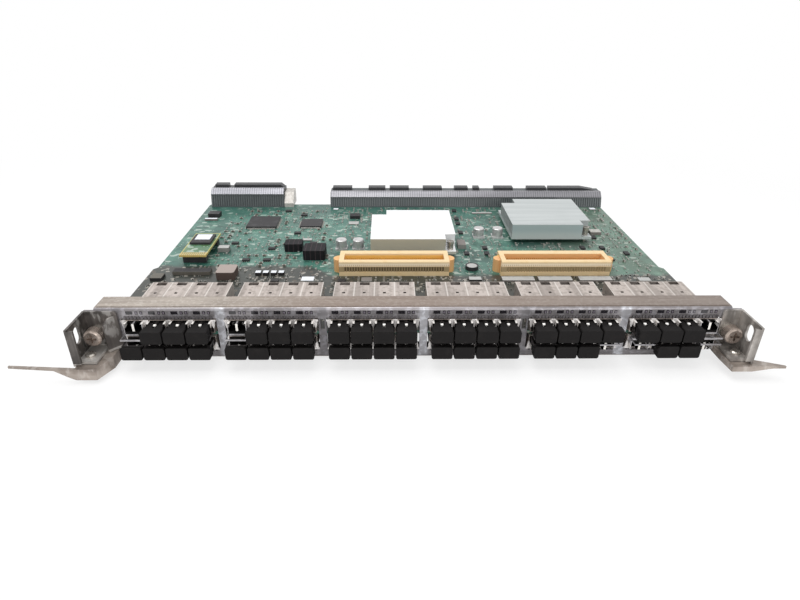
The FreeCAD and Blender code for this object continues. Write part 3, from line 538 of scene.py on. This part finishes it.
def dress_board():
    dress(circuit_board_finish(), "circuit_board")
    dress(strip_finish(), "connector_strips")
    # The last colour of each heat sink is the painted reflection and shade on its face towards the ports.
    dress(heat_sink_finish("sink_white", "heat_sink_left", (244, 245, 246), (226, 228, 230), (160, 156, 137)),
          "heat_sink_left")
    dress(heat_sink_finish("sink_pale", "heat_sink_right", (188, 193, 193), (172, 178, 178), (156, 172, 174)),
          "heat_sink_right")
    package = moulded("chip_epoxy", (46, 44, 46), (78, 78, 80), 0.5, gloss=0.3)
    dress(package.material, "switch_chips", "control_chips", "daughter_chip", "daughter_sockets")
    dress(inductor_finish(), "power_inductors")
    dress(mezzanine_finish(), "mezzanine_connector_left", "mezzanine_connector_right")
    dress(backplane_finish(), "backplane_connector_left", "backplane_connector_right")
    guide = cast_metal("guide_casting", (196, 192, 186), (156, 152, 146), 0.45, 0.3)
    dress(guide.material, "guide_block")
    dress(daughter_card_finish(), "daughter_card")
    can = cast_metal("can_aluminium", (206, 204, 204), (168, 166, 166), 0.32, 0.6)
    dress(can.material, "capacitor_cans")


# ---- modelling tools ------------------------------------------------------------------------
def alone(piece):
    """Selects one piece and nothing else."""
    bpy.ops.object.select_all(action="DESELECT")
    piece.select_set(True)
    bpy.context.view_layer.objects.active = piece


def start_block(name, size, centre):
    """A block of that size round centre, its place in its mesh."""
    bpy.ops.object.select_all(action="DESELECT")
    bpy.ops.mesh.primitive_cube_add(size=1, location=centre)
    piece = bpy.context.active_object
    piece.name = name
    piece.scale = size
    bpy.ops.object.transform_apply(location=True, rotation=True, scale=True)
    return piece


def start_rod(name, radius, length, centre, turn=(0.0, 0.0, 0.0), sides=16):
    """A rod along Z, or turned, its place in its mesh."""
    bpy.ops.object.select_all(action="DESELECT")
    bpy.ops.mesh.primitive_cylinder_add(vertices=sides, radius=radius, depth=length,
                                        location=centre, rotation=turn)
    piece = bpy.context.active_object
    piece.name = name
    bpy.ops.object.transform_apply(location=True, rotation=True, scale=True)
    return piece


def pick_faces(piece, test):
    """Opens the piece for editing with only the faces selected whose middle and normal pass the test."""
    alone(piece)
    bpy.context.tool_settings.mesh_select_mode = (False, False, True)
    for part in (piece.data.vertices, piece.data.edges):
        part.foreach_set("select", [False] * len(part))
    for face in piece.data.polygons:
        face.select = bool(test(face.center, face.normal))
    bpy.ops.object.mode_set(mode="EDIT")


def finish_edit():
    bpy.ops.object.mode_set(mode="OBJECT")


def extrude(x, y, z):
    """Draws the selected faces out by that move."""
    bpy.ops.mesh.extrude_region_move(TRANSFORM_OT_translate={"value": (x, y, z)})


def raise_lid(inset, lift):
    """Insets the selected faces and moves them up, or down where lift is negative."""
    bpy.ops.mesh.inset(thickness=inset, depth=0)
    bpy.ops.transform.translate(value=(0, 0, lift))


def soften(piece, width):
    """Takes off the sharp edges."""
    alone(piece)
    bevel = piece.modifiers.new("edges", "BEVEL")
    bevel.width = width
    bevel.limit_method = "ANGLE"
    bpy.ops.object.modifier_apply(modifier=bevel.name)


def colour_faces(piece, materials, choose):
    """Gives each face the material whose number choose returns for its middle."""
    for material in materials:
        piece.data.materials.append(material)
    for face in piece.data.polygons:
        face.material_index = choose(face.center)


def join(name, pieces):
    """Makes the pieces one object of that name."""
    bpy.ops.object.select_all(action="DESELECT")
    for piece in pieces:
        piece.select_set(True)
    bpy.context.view_layer.objects.active = pieces[0]
    bpy.ops.object.join()
    pieces[0].name = name
    return pieces[0]


def repeat(name, pattern, spots):
    """Copies of the pattern at (x, y, z, turn about Z), joined under one name.  The pattern itself goes."""
    copies = []
    for x, y, z, turn in spots:
        twin = pattern.copy()
        twin.data = pattern.data.copy()
        twin.data.transform(Matrix.Translation((x, y, z)) @ Matrix.Rotation(turn, 4, "Z"))
        bpy.context.scene.collection.objects.link(twin)
        copies.append(twin)
    bpy.data.objects.remove(pattern)
    return join(name, copies)


def fit_on(piece, body):
    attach(piece, body)


# ---- parts on the board ---------------------------------------------------------------------
class BoardPlan:
    """What already stands on the component side, so that parts are set only on free board."""

    def __init__(self):
        self.taken = []
        standing = ["daughter_card", "guide_block",
                    "backplane_connector_left", "backplane_connector_right",
                    "mezzanine_connector_left", "mezzanine_connector_right",
                    "heat_sink_left", "heat_sink_right"]
        for name in standing + named("sfp_cage_top_"):
            low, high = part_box(name)
            self.take(low.x, high.x, low.y, high.y)
        for shared in ("control_chips", "power_inductors", "capacitor_cans", "board_ties"):
            for x0, x1, y0, y1 in self.islands(shared):
                self.take(x0, x1, y0, y1)
        self.board_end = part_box("circuit_board")[1].y

    def islands(self, name):
        """The outline boxes of the separate solids in one node."""
        points = sorted((v.co.x, v.co.y) for v in nodes[name].data.vertices)
        reach_x, reach_y = 6 * MM, 12 * MM
        groups = []
        for x, y in points:
            near = [g for g in groups
                    if g[0] - reach_x < x < g[1] + reach_x and g[2] - reach_y < y < g[3] + reach_y]
            if near:
                group = near[0]
                group[0], group[1] = min(group[0], x), max(group[1], x)
                group[2], group[3] = min(group[2], y), max(group[3], y)
            else:
                groups.append([x, x, y, y])
        return groups

    def take(self, x0, x1, y0, y1, margin=0.8 * MM):
        """Marks an area, and a margin round it, as no longer free."""
        self.taken.append((x0 - margin, x1 + margin, y0 - margin, y1 + margin))

    def free(self, x, y, half_x, half_y):
        """Whether a part of that half size may stand there."""
        edge = 2.0 * MM
        if abs(x) + half_x > BOARD_HALF - edge or y + half_y > self.board_end - edge:
            return False
        return not any(x + half_x > x0 and x - half_x < x1 and y + half_y > y0 and y - half_y < y1
                       for x0, x1, y0, y1 in self.taken)

    def rows(self, dice, zone, pitch, size, share):
        """Places in straight rows over a zone, some left out; what it places is taken."""
        x0, x1, y0, y1 = [edge * MM for edge in zone]
        spots = []
        turned = dice.random() < 0.5
        half = (size[1] / 2, size[0] / 2) if turned else (size[0] / 2, size[1] / 2)
        for j in range(int((y1 - y0) / pitch[1])):
            for i in range(int((x1 - x0) / pitch[0])):
                x, y = x0 + (i + 0.5) * pitch[0], y0 + (j + 0.5) * pitch[1]
                if dice.random() < share and self.free(x, y, *half):
                    spots.append((x, y, 0.0, math.pi / 2 if turned else 0.0))
                    self.take(x - half[0], x + half[0], y - half[1], y + half[1], 0.25 * MM)
        return spots


# length, width and height of the two-ended parts, and the length of their metal ends
LARGE_CERAMIC = (3.2 * MM, 1.7 * MM, 1.3 * MM)
LARGE_CAP = 0.55 * MM
GREY_CERAMIC = (2.0 * MM, 1.3 * MM, 0.9 * MM)
GREY_CAP = 0.4 * MM
FILM = (1.6 * MM, 0.85 * MM, 0.5 * MM)
FILM_CAP = 0.35 * MM


def chip_part(name, size, cap, materials):
    """A two-ended surface-mount part: a body with a metal cap at each end."""
    length, _, height = size
    piece = start_block(name, size, (0, 0, height / 2))
    for side in (-1, 1):
        pick_faces(piece, lambda middle, normal: True)
        bpy.ops.mesh.bisect(plane_co=(side * (length / 2 - cap), 0, 0), plane_no=(1, 0, 0))
        finish_edit()
    colour_faces(piece, materials, lambda middle: 1 if abs(middle.x) > length / 2 - cap else 0)
    return piece


def small_package(name, size, legs, materials):
    """A moulded package with a row of bent legs along two sides."""
    length, width, height = size
    stand = 0.2 * MM
    body = start_block(name, (length, width, height - stand), (0, 0, (height + stand) / 2))
    pick_faces(body, lambda middle, normal: normal.z > 0.9)
    raise_lid(width * 0.04, height * 0.06)
    finish_edit()
    body.data.materials.append(materials[0])
    pieces = [body]
    for side in (-1, 1):
        for i in range(legs):
            x = (i - (legs - 1) / 2) * length / legs
            leg = start_block("leg", (length / legs * 0.4, 1.0 * MM, 0.15 * MM),
                              (x, side * (width / 2 + 0.4 * MM), 0.1 * MM))
            pick_faces(leg, lambda middle, normal: normal.y * side < -0.9)
            extrude(0, -side * 0.3 * MM, height * 0.5)
            finish_edit()
            leg.data.materials.append(materials[1])
            pieces.append(leg)
    return join(name, pieces)


def quad_legs(name, middle, size, height, count, material):
    """Legs along all four sides of a square package."""
    pitch = (size - 2 * MM) / count
    leg = start_block("leg", (pitch * 0.5, 1.3 * MM, 0.18 * MM), (0, -0.9 * MM, 0.1 * MM))
    pick_faces(leg, lambda centre, normal: normal.y > 0.9)
    extrude(0, 0.35 * MM, height * 0.5)
    finish_edit()
    leg.data.materials.append(material)
    spots = []
    out = -size / 2
    for quarter in range(4):
        turn = quarter * math.pi / 2
        for i in range(count):
            along = (i - (count - 1) / 2) * pitch
            x = along * math.cos(turn) - out * math.sin(turn)
            y = along * math.sin(turn) + out * math.cos(turn)
            spots.append((middle[0] + x, middle[1] + y, 0.0, turn))
    return repeat(name, leg, spots)


def lidded(name, size, spot, materials, lip=0.6 * MM):
    """A block with a raised lid of its own material.  Spot is the middle of its foot."""
    x, y, z = spot
    height = size[2]
    piece = start_block(name, size, (x, y, z + height / 2))
    pick_faces(piece, lambda middle, normal: normal.z > 0.9)
    raise_lid(lip, lip * 0.3)
    finish_edit()
    soften(piece, 0.12 * MM)
    colour_faces(piece, materials, lambda middle: 1 if middle.z > z + height + lip * 0.1 else 0)
    return piece


def round_part(name, radius, height, spot, materials):
    """A round part with a sunk lid."""
    x, y, z = spot
    piece = start_rod(name, radius, height, (x, y, z + height / 2), sides=28)
    pick_faces(piece, lambda middle, normal: normal.z > 0.9)
    raise_lid(radius * 0.22, -0.3 * MM)
    finish_edit()
    rim = z + height - 0.2 * MM
    colour_faces(piece, materials, lambda middle: 1 if rim - 0.3 * MM < middle.z < rim else 0)
    return piece


def part_materials():
    """What the parts on the board are made of."""
    return {
        "tinned": cast_metal("tinned_end", (190, 188, 182), (150, 148, 142), 0.35, 0.6).material,
        "black": moulded("film_black", (40, 40, 42), (58, 58, 60), 0.45).material,
        "brown": moulded("ceramic_brown", (92, 88, 80), (74, 70, 64), 0.5).material,
        "grey": moulded("ceramic_grey", (132, 132, 128), (104, 104, 100), 0.5).material,
        "epoxy": moulded("package_black", (38, 37, 39), (58, 57, 59), 0.5, gloss=0.3).material,
        "paper": moulded("label_paper", (226, 230, 236), (206, 210, 216), 0.6).material,
        "white": moulded("housing_white", (176, 176, 174), (150, 148, 146), 0.5).material,
        "stone": moulded("housing_grey", (118, 112, 108), (92, 88, 84), 0.5).material,
    }


# Millimetres: name, middle x and y, width, depth, height, and what the body and the lid are made of.
LARGE_PARTS = (
    ("low_block_1", 82.1, 76.0, 25.0, 7.0, 1.6, "stone", "white"),
    ("low_block_2", 110.7, 76.0, 26.2, 7.0, 1.6, "stone", "white"),
    ("low_block_3", 141.9, 76.0, 25.5, 7.0, 1.6, "stone", "white"),
    ("block_front_right", 178.0, 71.5, 9.2, 6.0, 3.0, "grey", "white"),
    ("block_front_middle", 48.5, 73.5, 9.6, 5.6, 3.0, "black", "white"),
    ("block_front_dark", -34.4, 74.0, 8.2, 6.4, 2.2, "grey", "stone"),
    ("header_left", -171.0, 89.0, 29.0, 7.0, 3.0, "brown", "epoxy"),
    ("header_far_left", -195.0, 80.0, 9.0, 9.0, 2.4, "epoxy", "brown"),
    ("block_by_inductor", -157.3, 133.5, 9.2, 6.2, 4.0, "grey", "white"),
    ("block_between", -89.8, 157.0, 8.6, 4.4, 1.2, "grey", "white"),
    ("block_behind_daughter", -187.5, 219.5, 11.0, 9.0, 4.0, "epoxy", "black"),
    ("front_behind_daughter", -188.0, 208.0, 12.0, 3.0, 2.0, "stone", "paper"),
    ("block_by_strip", -50.3, 216.0, 9.6, 8.0, 3.0, "epoxy", "epoxy"),
    ("tag_by_strip", -50.8, 200.0, 9.6, 7.5, 0.6, "stone", "white"),
    ("bar_back", 75.6, 227.5, 20.0, 3.2, 1.0, "stone", "white"),
    ("block_by_sink", 172.0, 173.0, 10.0, 8.0, 3.0, "stone", "tinned"),
    ("pad_back_left", -70.9, 240.0, 5.0, 4.0, 0.6, "stone", "paper"),
    ("pad_back_right", 190.9, 240.5, 6.0, 5.0, 0.9, "stone", "paper"),
    ("block_side_left", 45.5, 143.0, 7.0, 12.0, 4.0, "grey", "stone"),
)


def set_large_parts(layout, made_of):
    for name, x, y, width, depth, height, body, lid in LARGE_PARTS:
        x, y, width, depth, height = x * MM, y * MM, width * MM, depth * MM, height * MM
        part = lidded(name, (width, depth, height), (x, y, 0.0), (made_of[body], made_of[lid]))
        fit_on(part, "card")
        layout.take(x - width / 2, x + width / 2, y - depth / 2, y + depth / 2)


def set_dot_blocks(layout, made_of):
    """Four small dark blocks in a row, a pale square on each."""
    half, y = 2.2, 87
    for number, x in enumerate((-119.3, -113.4, -107.2, -101.4)):
        block = lidded("dot_block_%d" % (number + 1), (4.4 * MM, 4.4 * MM, 2.4 * MM), (x * MM, y * MM, 0.0),
                       (made_of["epoxy"], made_of["paper"]), 1.35 * MM)
        fit_on(block, "card")
        layout.take((x - half) * MM, (x + half) * MM, (y - half) * MM, (y + half) * MM)


def set_coil(layout, made_of):
    radius, x, y = 5.2, 49, 97
    coil = round_part("round_block", radius * MM, 3.2 * MM, (x * MM, y * MM, 0.0),
                      (made_of["black"], made_of["white"]))
    fit_on(coil, "card")
    layout.take((x - radius) * MM, (x + radius) * MM, (y - radius) * MM, (y + radius) * MM)


def set_labels(layout, made_of):
    """Blank paper labels: two on the board and one on the daughter card's chip."""
    places = ((-80, 79, 9.5, 7, 0.1), (-175.3, 141.0, 12.6, 11.5, 9.8), (-15, 225, 9, 5, 0.1))
    for number, (x, y, width, depth, z) in enumerate(places):
        x, y, width, depth = x * MM, y * MM, width * MM, depth * MM
        label = start_block("label_%d" % (number + 1), (width, depth, 0.16 * MM), (x, y, z * MM))
        soften(label, 0.05 * MM)
        label.data.materials.append(made_of["paper"])
        fit_on(label, "card")
        layout.take(x - width / 2, x + width / 2, y - depth / 2, y + depth / 2)


def set_chip_legs(layout, made_of):
    """Legs round the two square control chips."""
    chips = ((-136, 199, 28, 2.4, 34), (-90.5, 197, 20, 2.0, 24))
    for number, (x, y, size, height, count) in enumerate(chips):
        legs = quad_legs("control_chip_legs_%d" % (number + 1), (x * MM, y * MM), size * MM, height * MM,
                         count, made_of["tinned"])
        fit_on(legs, "card")
        reach = size / 2 + 2
        layout.take((x - reach) * MM, (x + reach) * MM, (y - reach) * MM, (y + reach) * MM)


def spread_small_parts(layout, made_of):
    """Rows of packages, ceramics and resistors on the board that is still free."""
    dice = random.Random(17)
    tinned = made_of["tinned"]

    def spread(name, make, slot, zones, pitch, size, share):
        spots = []
        for zone in zones:
            spots += layout.rows(dice, zone, pitch, size, share)
        if spots:
            fit_on(repeat(name, make(), spots), "card")

    package = (6.0 * MM, 4.0 * MM, 1.5 * MM)
    spread("small_packages", lambda: small_package("package", package, 4, (made_of["epoxy"], tinned)),
           "package_plastic",
           [(-160, -60, 95, 240), (-60, 40, 200, 240), (40, 198, 108, 240), (-198, 198, 56, 84)],
           (17 * MM, 12 * MM), (7 * MM, 7 * MM), 0.24)
    spread("large_ceramics",
           lambda: chip_part("ceramic", LARGE_CERAMIC, LARGE_CAP, (made_of["brown"], tinned)),
           "mezzanine_plastic", [(-200, 200, 56, 86), (-60, 200, 108, 240), (-170, -60, 100, 240)],
           (6.5 * MM, 5.0 * MM), LARGE_CERAMIC[:2], 0.2)
    spread("grey_ceramics", lambda: chip_part("ceramic", GREY_CERAMIC, GREY_CAP, (made_of["grey"], tinned)),
           "mezzanine_plastic", [(-200, 200, 55.5, 86), (-170, 200, 90, 244)],
           (4.6 * MM, 4.4 * MM), GREY_CERAMIC[:2], 0.2)
    spread("film_resistors", lambda: chip_part("resistor", FILM, FILM_CAP, (made_of["black"], tinned)),
           "package_plastic", [(-200, 200, 55.5, 86), (-170, 200, 88, 244)],
           (3.4 * MM, 3.0 * MM), FILM[:2], 0.17)


def fill_board():
    made_of = part_materials()
    layout = BoardPlan()
    set_large_parts(layout, made_of)
    set_dot_blocks(layout, made_of)
    set_coil(layout, made_of)
    set_labels(layout, made_of)
    set_chip_legs(layout, made_of)
    spread_small_parts(layout, made_of)


def fill_solder_side():
    """Small parts and cut leads under the board."""
    dice = random.Random(5)
    tinned = cast_metal("solder_cone", (186, 186, 182), (140, 140, 136), 0.35, 0.6).material
    black = moulded("film_black_below", (40, 40, 42), (58, 58, 60), 0.45).material
    grey = moulded("ceramic_below", (132, 124, 112), (104, 98, 88), 0.5).material

    def spread(name, pattern, zones, pitch, share, slot):
        """Copies of the pattern in rows over the zones, some left out.  Zones and pitch in millimetres."""
        spots = []
        for x0, x1, y0, y1 in zones:
            for j in range(int((y1 - y0) / pitch[1])):
                for i in range(int((x1 - x0) / pitch[0])):
                    if dice.random() < share:
                        x, y = x0 + (i + 0.5) * pitch[0], y0 + (j + 0.5) * pitch[1]
                        spots.append((x * MM, y * MM, -BOARD_T, 0.0))
        fit_on(repeat(name, pattern, spots), "card")

    def hung(piece):
        """Turns a part upside down, so that it hangs from the board."""
        piece.data.transform(Matrix.Rotation(math.pi, 4, "X"))
        return piece

    spread("ceramics_below", hung(chip_part("ceramic", GREY_CERAMIC, GREY_CAP, (grey, tinned))),
           [(-30, 36, 122, 188), (94, 160, 155, 220), (-150, -40, 100, 160), (-190, 190, 60, 82)],
           (4.6, 4.2), 0.3, "mezzanine_plastic")
    spread("resistors_below", hung(chip_part("resistor", FILM, FILM_CAP, (black, tinned))),
           [(-160, 190, 100, 240)], (6.4, 5.6), 0.22, "package_plastic")
    lead = start_rod("lead", 0.45 * MM, 1.2 * MM, (0, 0, -0.6 * MM), sides=8)
    pick_faces(lead, lambda middle, normal: normal.z < -0.9)
    bpy.ops.transform.resize(value=(0.5, 0.5, 1.0))
    finish_edit()
    lead.data.materials.append(tinned)
    spread("leads_below", lead, [(-58, 32, 86, 104), (76, 166, 86, 104)], (2.4, 3.2), 0.9, "fastener_steel")


# ---- sockets and cages ----------------------------------------------------------------------
def fit_ferrules():
    """Ceramic sleeves deep in the open fibre sockets."""
    ceramic = moulded("ferrule_ceramic", (132, 130, 128), (104, 102, 100), 0.3, 0.2).material
    pieces = []
    for name in named("open_transceiver_"):
        low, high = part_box(name)
        z = low.z + SOCKET_Z if "_top_" in name else high.z - SOCKET_Z
        for side in (-1, 1):
            x = (low.x + high.x) / 2 + side * SOCKET_SIDE
            ring = start_rod("sleeve", 0.95 * MM, 4.0 * MM, (x, 2.6 * MM, z), (math.pi / 2, 0, 0))
            pick_faces(ring, lambda middle, normal: normal.y < -0.9)
            bpy.ops.mesh.inset(thickness=0.3 * MM, depth=0)
            extrude(0, 2.0 * MM, 0)
            finish_edit()
            ring.data.materials.append(ceramic)
            pieces.append(ring)
    fit_on(join("fibre_sleeves", pieces), "card")


def mirrored_below(name, piece):
    """A second copy, mirrored about the middle plane of the board."""
    twin = piece.copy()
    twin.data = piece.data.copy()
    bpy.context.scene.collection.objects.link(twin)
    twin.name = name
    twin.data.transform(Matrix.Translation((0, 0, -BOARD_T)) @ Matrix.Scale(-1, 4, (0, 0, 1)))
    twin.data.flip_normals()
    return twin


def comb_finger(material):
    """A short tab whose end leans forward."""
    finger = start_block("finger", (1.5 * MM, 0.25 * MM, 1.9 * MM), (0, -0.35 * MM, 11.0 * MM))
    pick_faces(finger, lambda middle, normal: normal.z < -0.9)
    bpy.ops.transform.translate(value=(0, -0.35 * MM, 0))
    extrude(0, 0.3 * MM, -0.4 * MM)
    finish_edit()
    finger.data.materials.append(material)
    return finger


def vee_finger(material):
    """A finger with a dished root that narrows towards the board."""
    vee = start_block("vee", (3.2 * MM, 0.9 * MM, 0.8 * MM), (0, -1.45 * MM, 9.4 * MM))
    pick_faces(vee, lambda middle, normal: normal.z < -0.9)
    for drop, narrow in ((0.4, 0.65), (2.4, 0.85), (1.9, 0.4)):
        extrude(0, 0, -drop * MM)
        bpy.ops.transform.resize(value=(narrow, 1.0, 1.0))
    finish_edit()
    pick_faces(vee, lambda middle, normal: normal.z > 0.9)
    raise_lid(0.3 * MM, -0.6 * MM)
    finish_edit()
    vee.data.materials.append(material)
    return vee


def fit_shield_fingers():
    """Spring fingers: a dark comb along each row of mouths, bright V-shaped ones at every divider."""
    comb_steel = rolled_metal("comb_steel", (104, 100, 102), (56, 53, 54), 0.34, "Z", 0.8).material
    bright = rolled_metal("finger_bright", (232, 228, 226), (150, 146, 144), 0.3, "Z", 0.25,
                          contrast=0.8).material
    teeth = 26
    tooth_pitch = PORTS * PORT_PITCH / teeth
    comb, vees = [], []
    for group in range(GROUPS):
        start = FIELD_START + group * GROUP_PITCH
        comb += [(start + (i + 0.5) * tooth_pitch, 0.0, 0.0, 0.0) for i in range(teeth)]
        vees += [(start + i * PORT_PITCH, 0.0, 0.0, 0.0) for i in range(PORTS + 1)]
    for name, pattern, spots in (("shield_comb", comb_finger(comb_steel), comb),
                                 ("shield_vees", vee_finger(bright), vees)):
        upper = repeat(name + "_top", pattern, spots)
        lower = mirrored_below(name + "_bottom", upper)
        fit_on(upper, "card")
        fit_on(lower, "card")


def fit_nose_highlights():
    """A white block on the nose of every plugged module of the upper row: a painted highlight on the web
    between its fibre pegs.
    """
    # Painted highlight: a near-white block stands for the light caught on the web.
    white = moulded("nose_highlight_white", (246, 244, 240), (226, 224, 220), 0.4).material
    open_ports = []
    for name in named("open_transceiver_top"):
        low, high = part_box(name)
        open_ports.append((low.x + high.x) / 2)
    nose_highlight_block = start_block("nose_highlight_block", (2.0 * MM, 1.6 * MM, 1.2 * MM), (0, -5.8 * MM, 8.4 * MM))
    pick_faces(nose_highlight_block, lambda middle, normal: normal.y < -0.9)
    bpy.ops.transform.resize(value=(0.7, 1.0, 0.7))
    finish_edit()
    soften(nose_highlight_block, 0.15 * MM)
    nose_highlight_block.data.materials.append(white)
    spots = []
    for group in range(GROUPS):
        for i in range(PORTS):
            x = FIRST_PORT + group * GROUP_PITCH + i * PORT_PITCH
            if not any(abs(x - other) < 2 * MM for other in open_ports):
                spots.append((x, 0.0, 0.0, 0.0))
    fit_on(repeat("nose_highlights", nose_highlight_block, spots), "card")


def fit_mezzanine_contacts():
    """Two rows of gold blades in the slot of each mezzanine connector."""
    gold = rolled_metal("contact_gold", (214, 176, 96), (180, 140, 66), 0.25, "Z", 0.9).material
    count, pitch = 48, 1.55 * MM
    for side in ("left", "right"):
        low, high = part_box("mezzanine_connector_" + side)
        middle = (low.x + high.x) / 2
        blade = start_block("blade", (0.5 * MM, 0.5 * MM, 5.5 * MM), (0, 0, 2.75 * MM))
        soften(blade, 0.12 * MM)
        blade.data.materials.append(gold)
        spots = []
        for row in (high.y - 15.5 * MM, high.y - 9.9 * MM):
            for i in range(count):
                spots.append((middle + (i - (count - 1) / 2) * pitch, row, 4.4 * MM, 0.0))
        fit_on(repeat("mezzanine_contacts_" + side, blade, spots), "card")


# ---- stage ----------------------------------------------------------------------------------
def lay_floor():
    """White floor that keeps the shadow near the card and turns plain white further out."""
    bpy.ops.object.select_all(action="DESELECT")
    bpy.ops.mesh.primitive_plane_add(size=60.0, location=(0, 0, cad_box[0].z - 0.2 * MM))
    floor = bpy.context.active_object
    floor.name = "floor"
    finish = Finish("floor_white", (0.93, 0.93, 0.93, 1.0), 0.9)
    glow = finish.tree.nodes.new("ShaderNodeEmission")
    glow.inputs["Color"].default_value = (1, 1, 1, 1)
    mix = finish.tree.nodes.new("ShaderNodeMixShader")
    seen = finish.node("LightPath", {}, output="Is Camera Ray")
    x, y, _ = finish.axes()
    far = (x * x + y * y).math("SQRT").ease(0.35, 0.75)
    finish.put(mix.inputs[0], seen * (far * 0.3 + 0.7))
    finish.tree.links.new(finish.surface.outputs[0], mix.inputs[1])
    finish.tree.links.new(glow.outputs[0], mix.inputs[2])
    finish.tree.links.new(mix.outputs[0], finish.tree.nodes["Material Output"].inputs[0])
    floor.data.materials.append(finish.material)


def light_room():
    """White behind the card and in reflections, and a plain lower level as light."""
    world = bpy.data.worlds.new("room")
    bpy.context.scene.world = world
    world.use_nodes = True
    tree = world.node_tree

    def larger(first, second):
        node = tree.nodes.new("ShaderNodeMath")
        node.operation = "MAXIMUM"
        tree.links.new(first, node.inputs[0])
        tree.links.new(second, node.inputs[1])
        return node.outputs[0]

    path = tree.nodes.new("ShaderNodeLightPath").outputs
    seen = larger(larger(path["Is Camera Ray"], path["Is Glossy Ray"]), path["Is Transmission Ray"])
    level = tree.nodes.new("ShaderNodeMapRange")
    tree.links.new(seen, level.inputs["Value"])
    level.inputs["To Min"].default_value = 0.62
    level.inputs["To Max"].default_value = 1.0
    sky = tree.nodes["Background"]
    tree.links.new(level.outputs[0], sky.inputs["Strength"])
    sky.inputs["Color"].default_value = (1, 1, 1, 1)


def hang_softbox(name, place, aim, width, power):
    lamp = bpy.data.lights.new(name, "AREA")
    lamp.size = width
    lamp.energy = power
    holder = bpy.data.objects.new(name, lamp)
    bpy.context.scene.collection.objects.link(holder)
    away = Vector(place) - Vector(aim)
    holder.matrix_world = Matrix.Translation(place) @ away.to_track_quat("Z", "Y").to_matrix().to_4x4()


def stand_camera():
    """A camera low in front of the card, looking down its length."""
    place = Vector((-17.652, -325.816, 196.754)) * MM
    yaw, pitch, roll = 0.022, 0.489, 0.008
    ahead = Vector((math.sin(yaw) * math.cos(pitch), math.cos(yaw) * math.cos(pitch), -math.sin(pitch)))
    right = ahead.cross(Vector((0, 0, 1))).normalized()
    above = right.cross(ahead)
    right, above = (right * math.cos(roll) + above * math.sin(roll),
                    above * math.cos(roll) - right * math.sin(roll))
    camera = bpy.data.cameras.new("camera")
    camera.sensor_width = 36.0
    camera.lens = 26.184
    camera.clip_start = 0.01
    holder = bpy.data.objects.new("camera", camera)
    bpy.context.scene.collection.objects.link(holder)
    holder.matrix_world = Matrix.Translation(place) @ Matrix((right, above, -ahead)).transposed().to_4x4()
    bpy.context.scene.camera = holder


# ---- scene ----------------------------------------------------------------------------------
dress_front()
dress_brackets()
dress_board()
fill_board()
fill_solder_side()
fit_ferrules()
fit_shield_fingers()
fit_nose_highlights()
fit_mezzanine_contacts()
lay_floor()
light_room()
hang_softbox("overhead", (-0.25, 0.15, 1.1), (0, 0.1, 0), 0.9, 9.0)
hang_softbox("front", (0.25, -1.1, 0.5), (0, 0, 0), 0.9, 6.0)
stand_camera()
bpy.context.scene.view_settings.view_transform = "Standard"
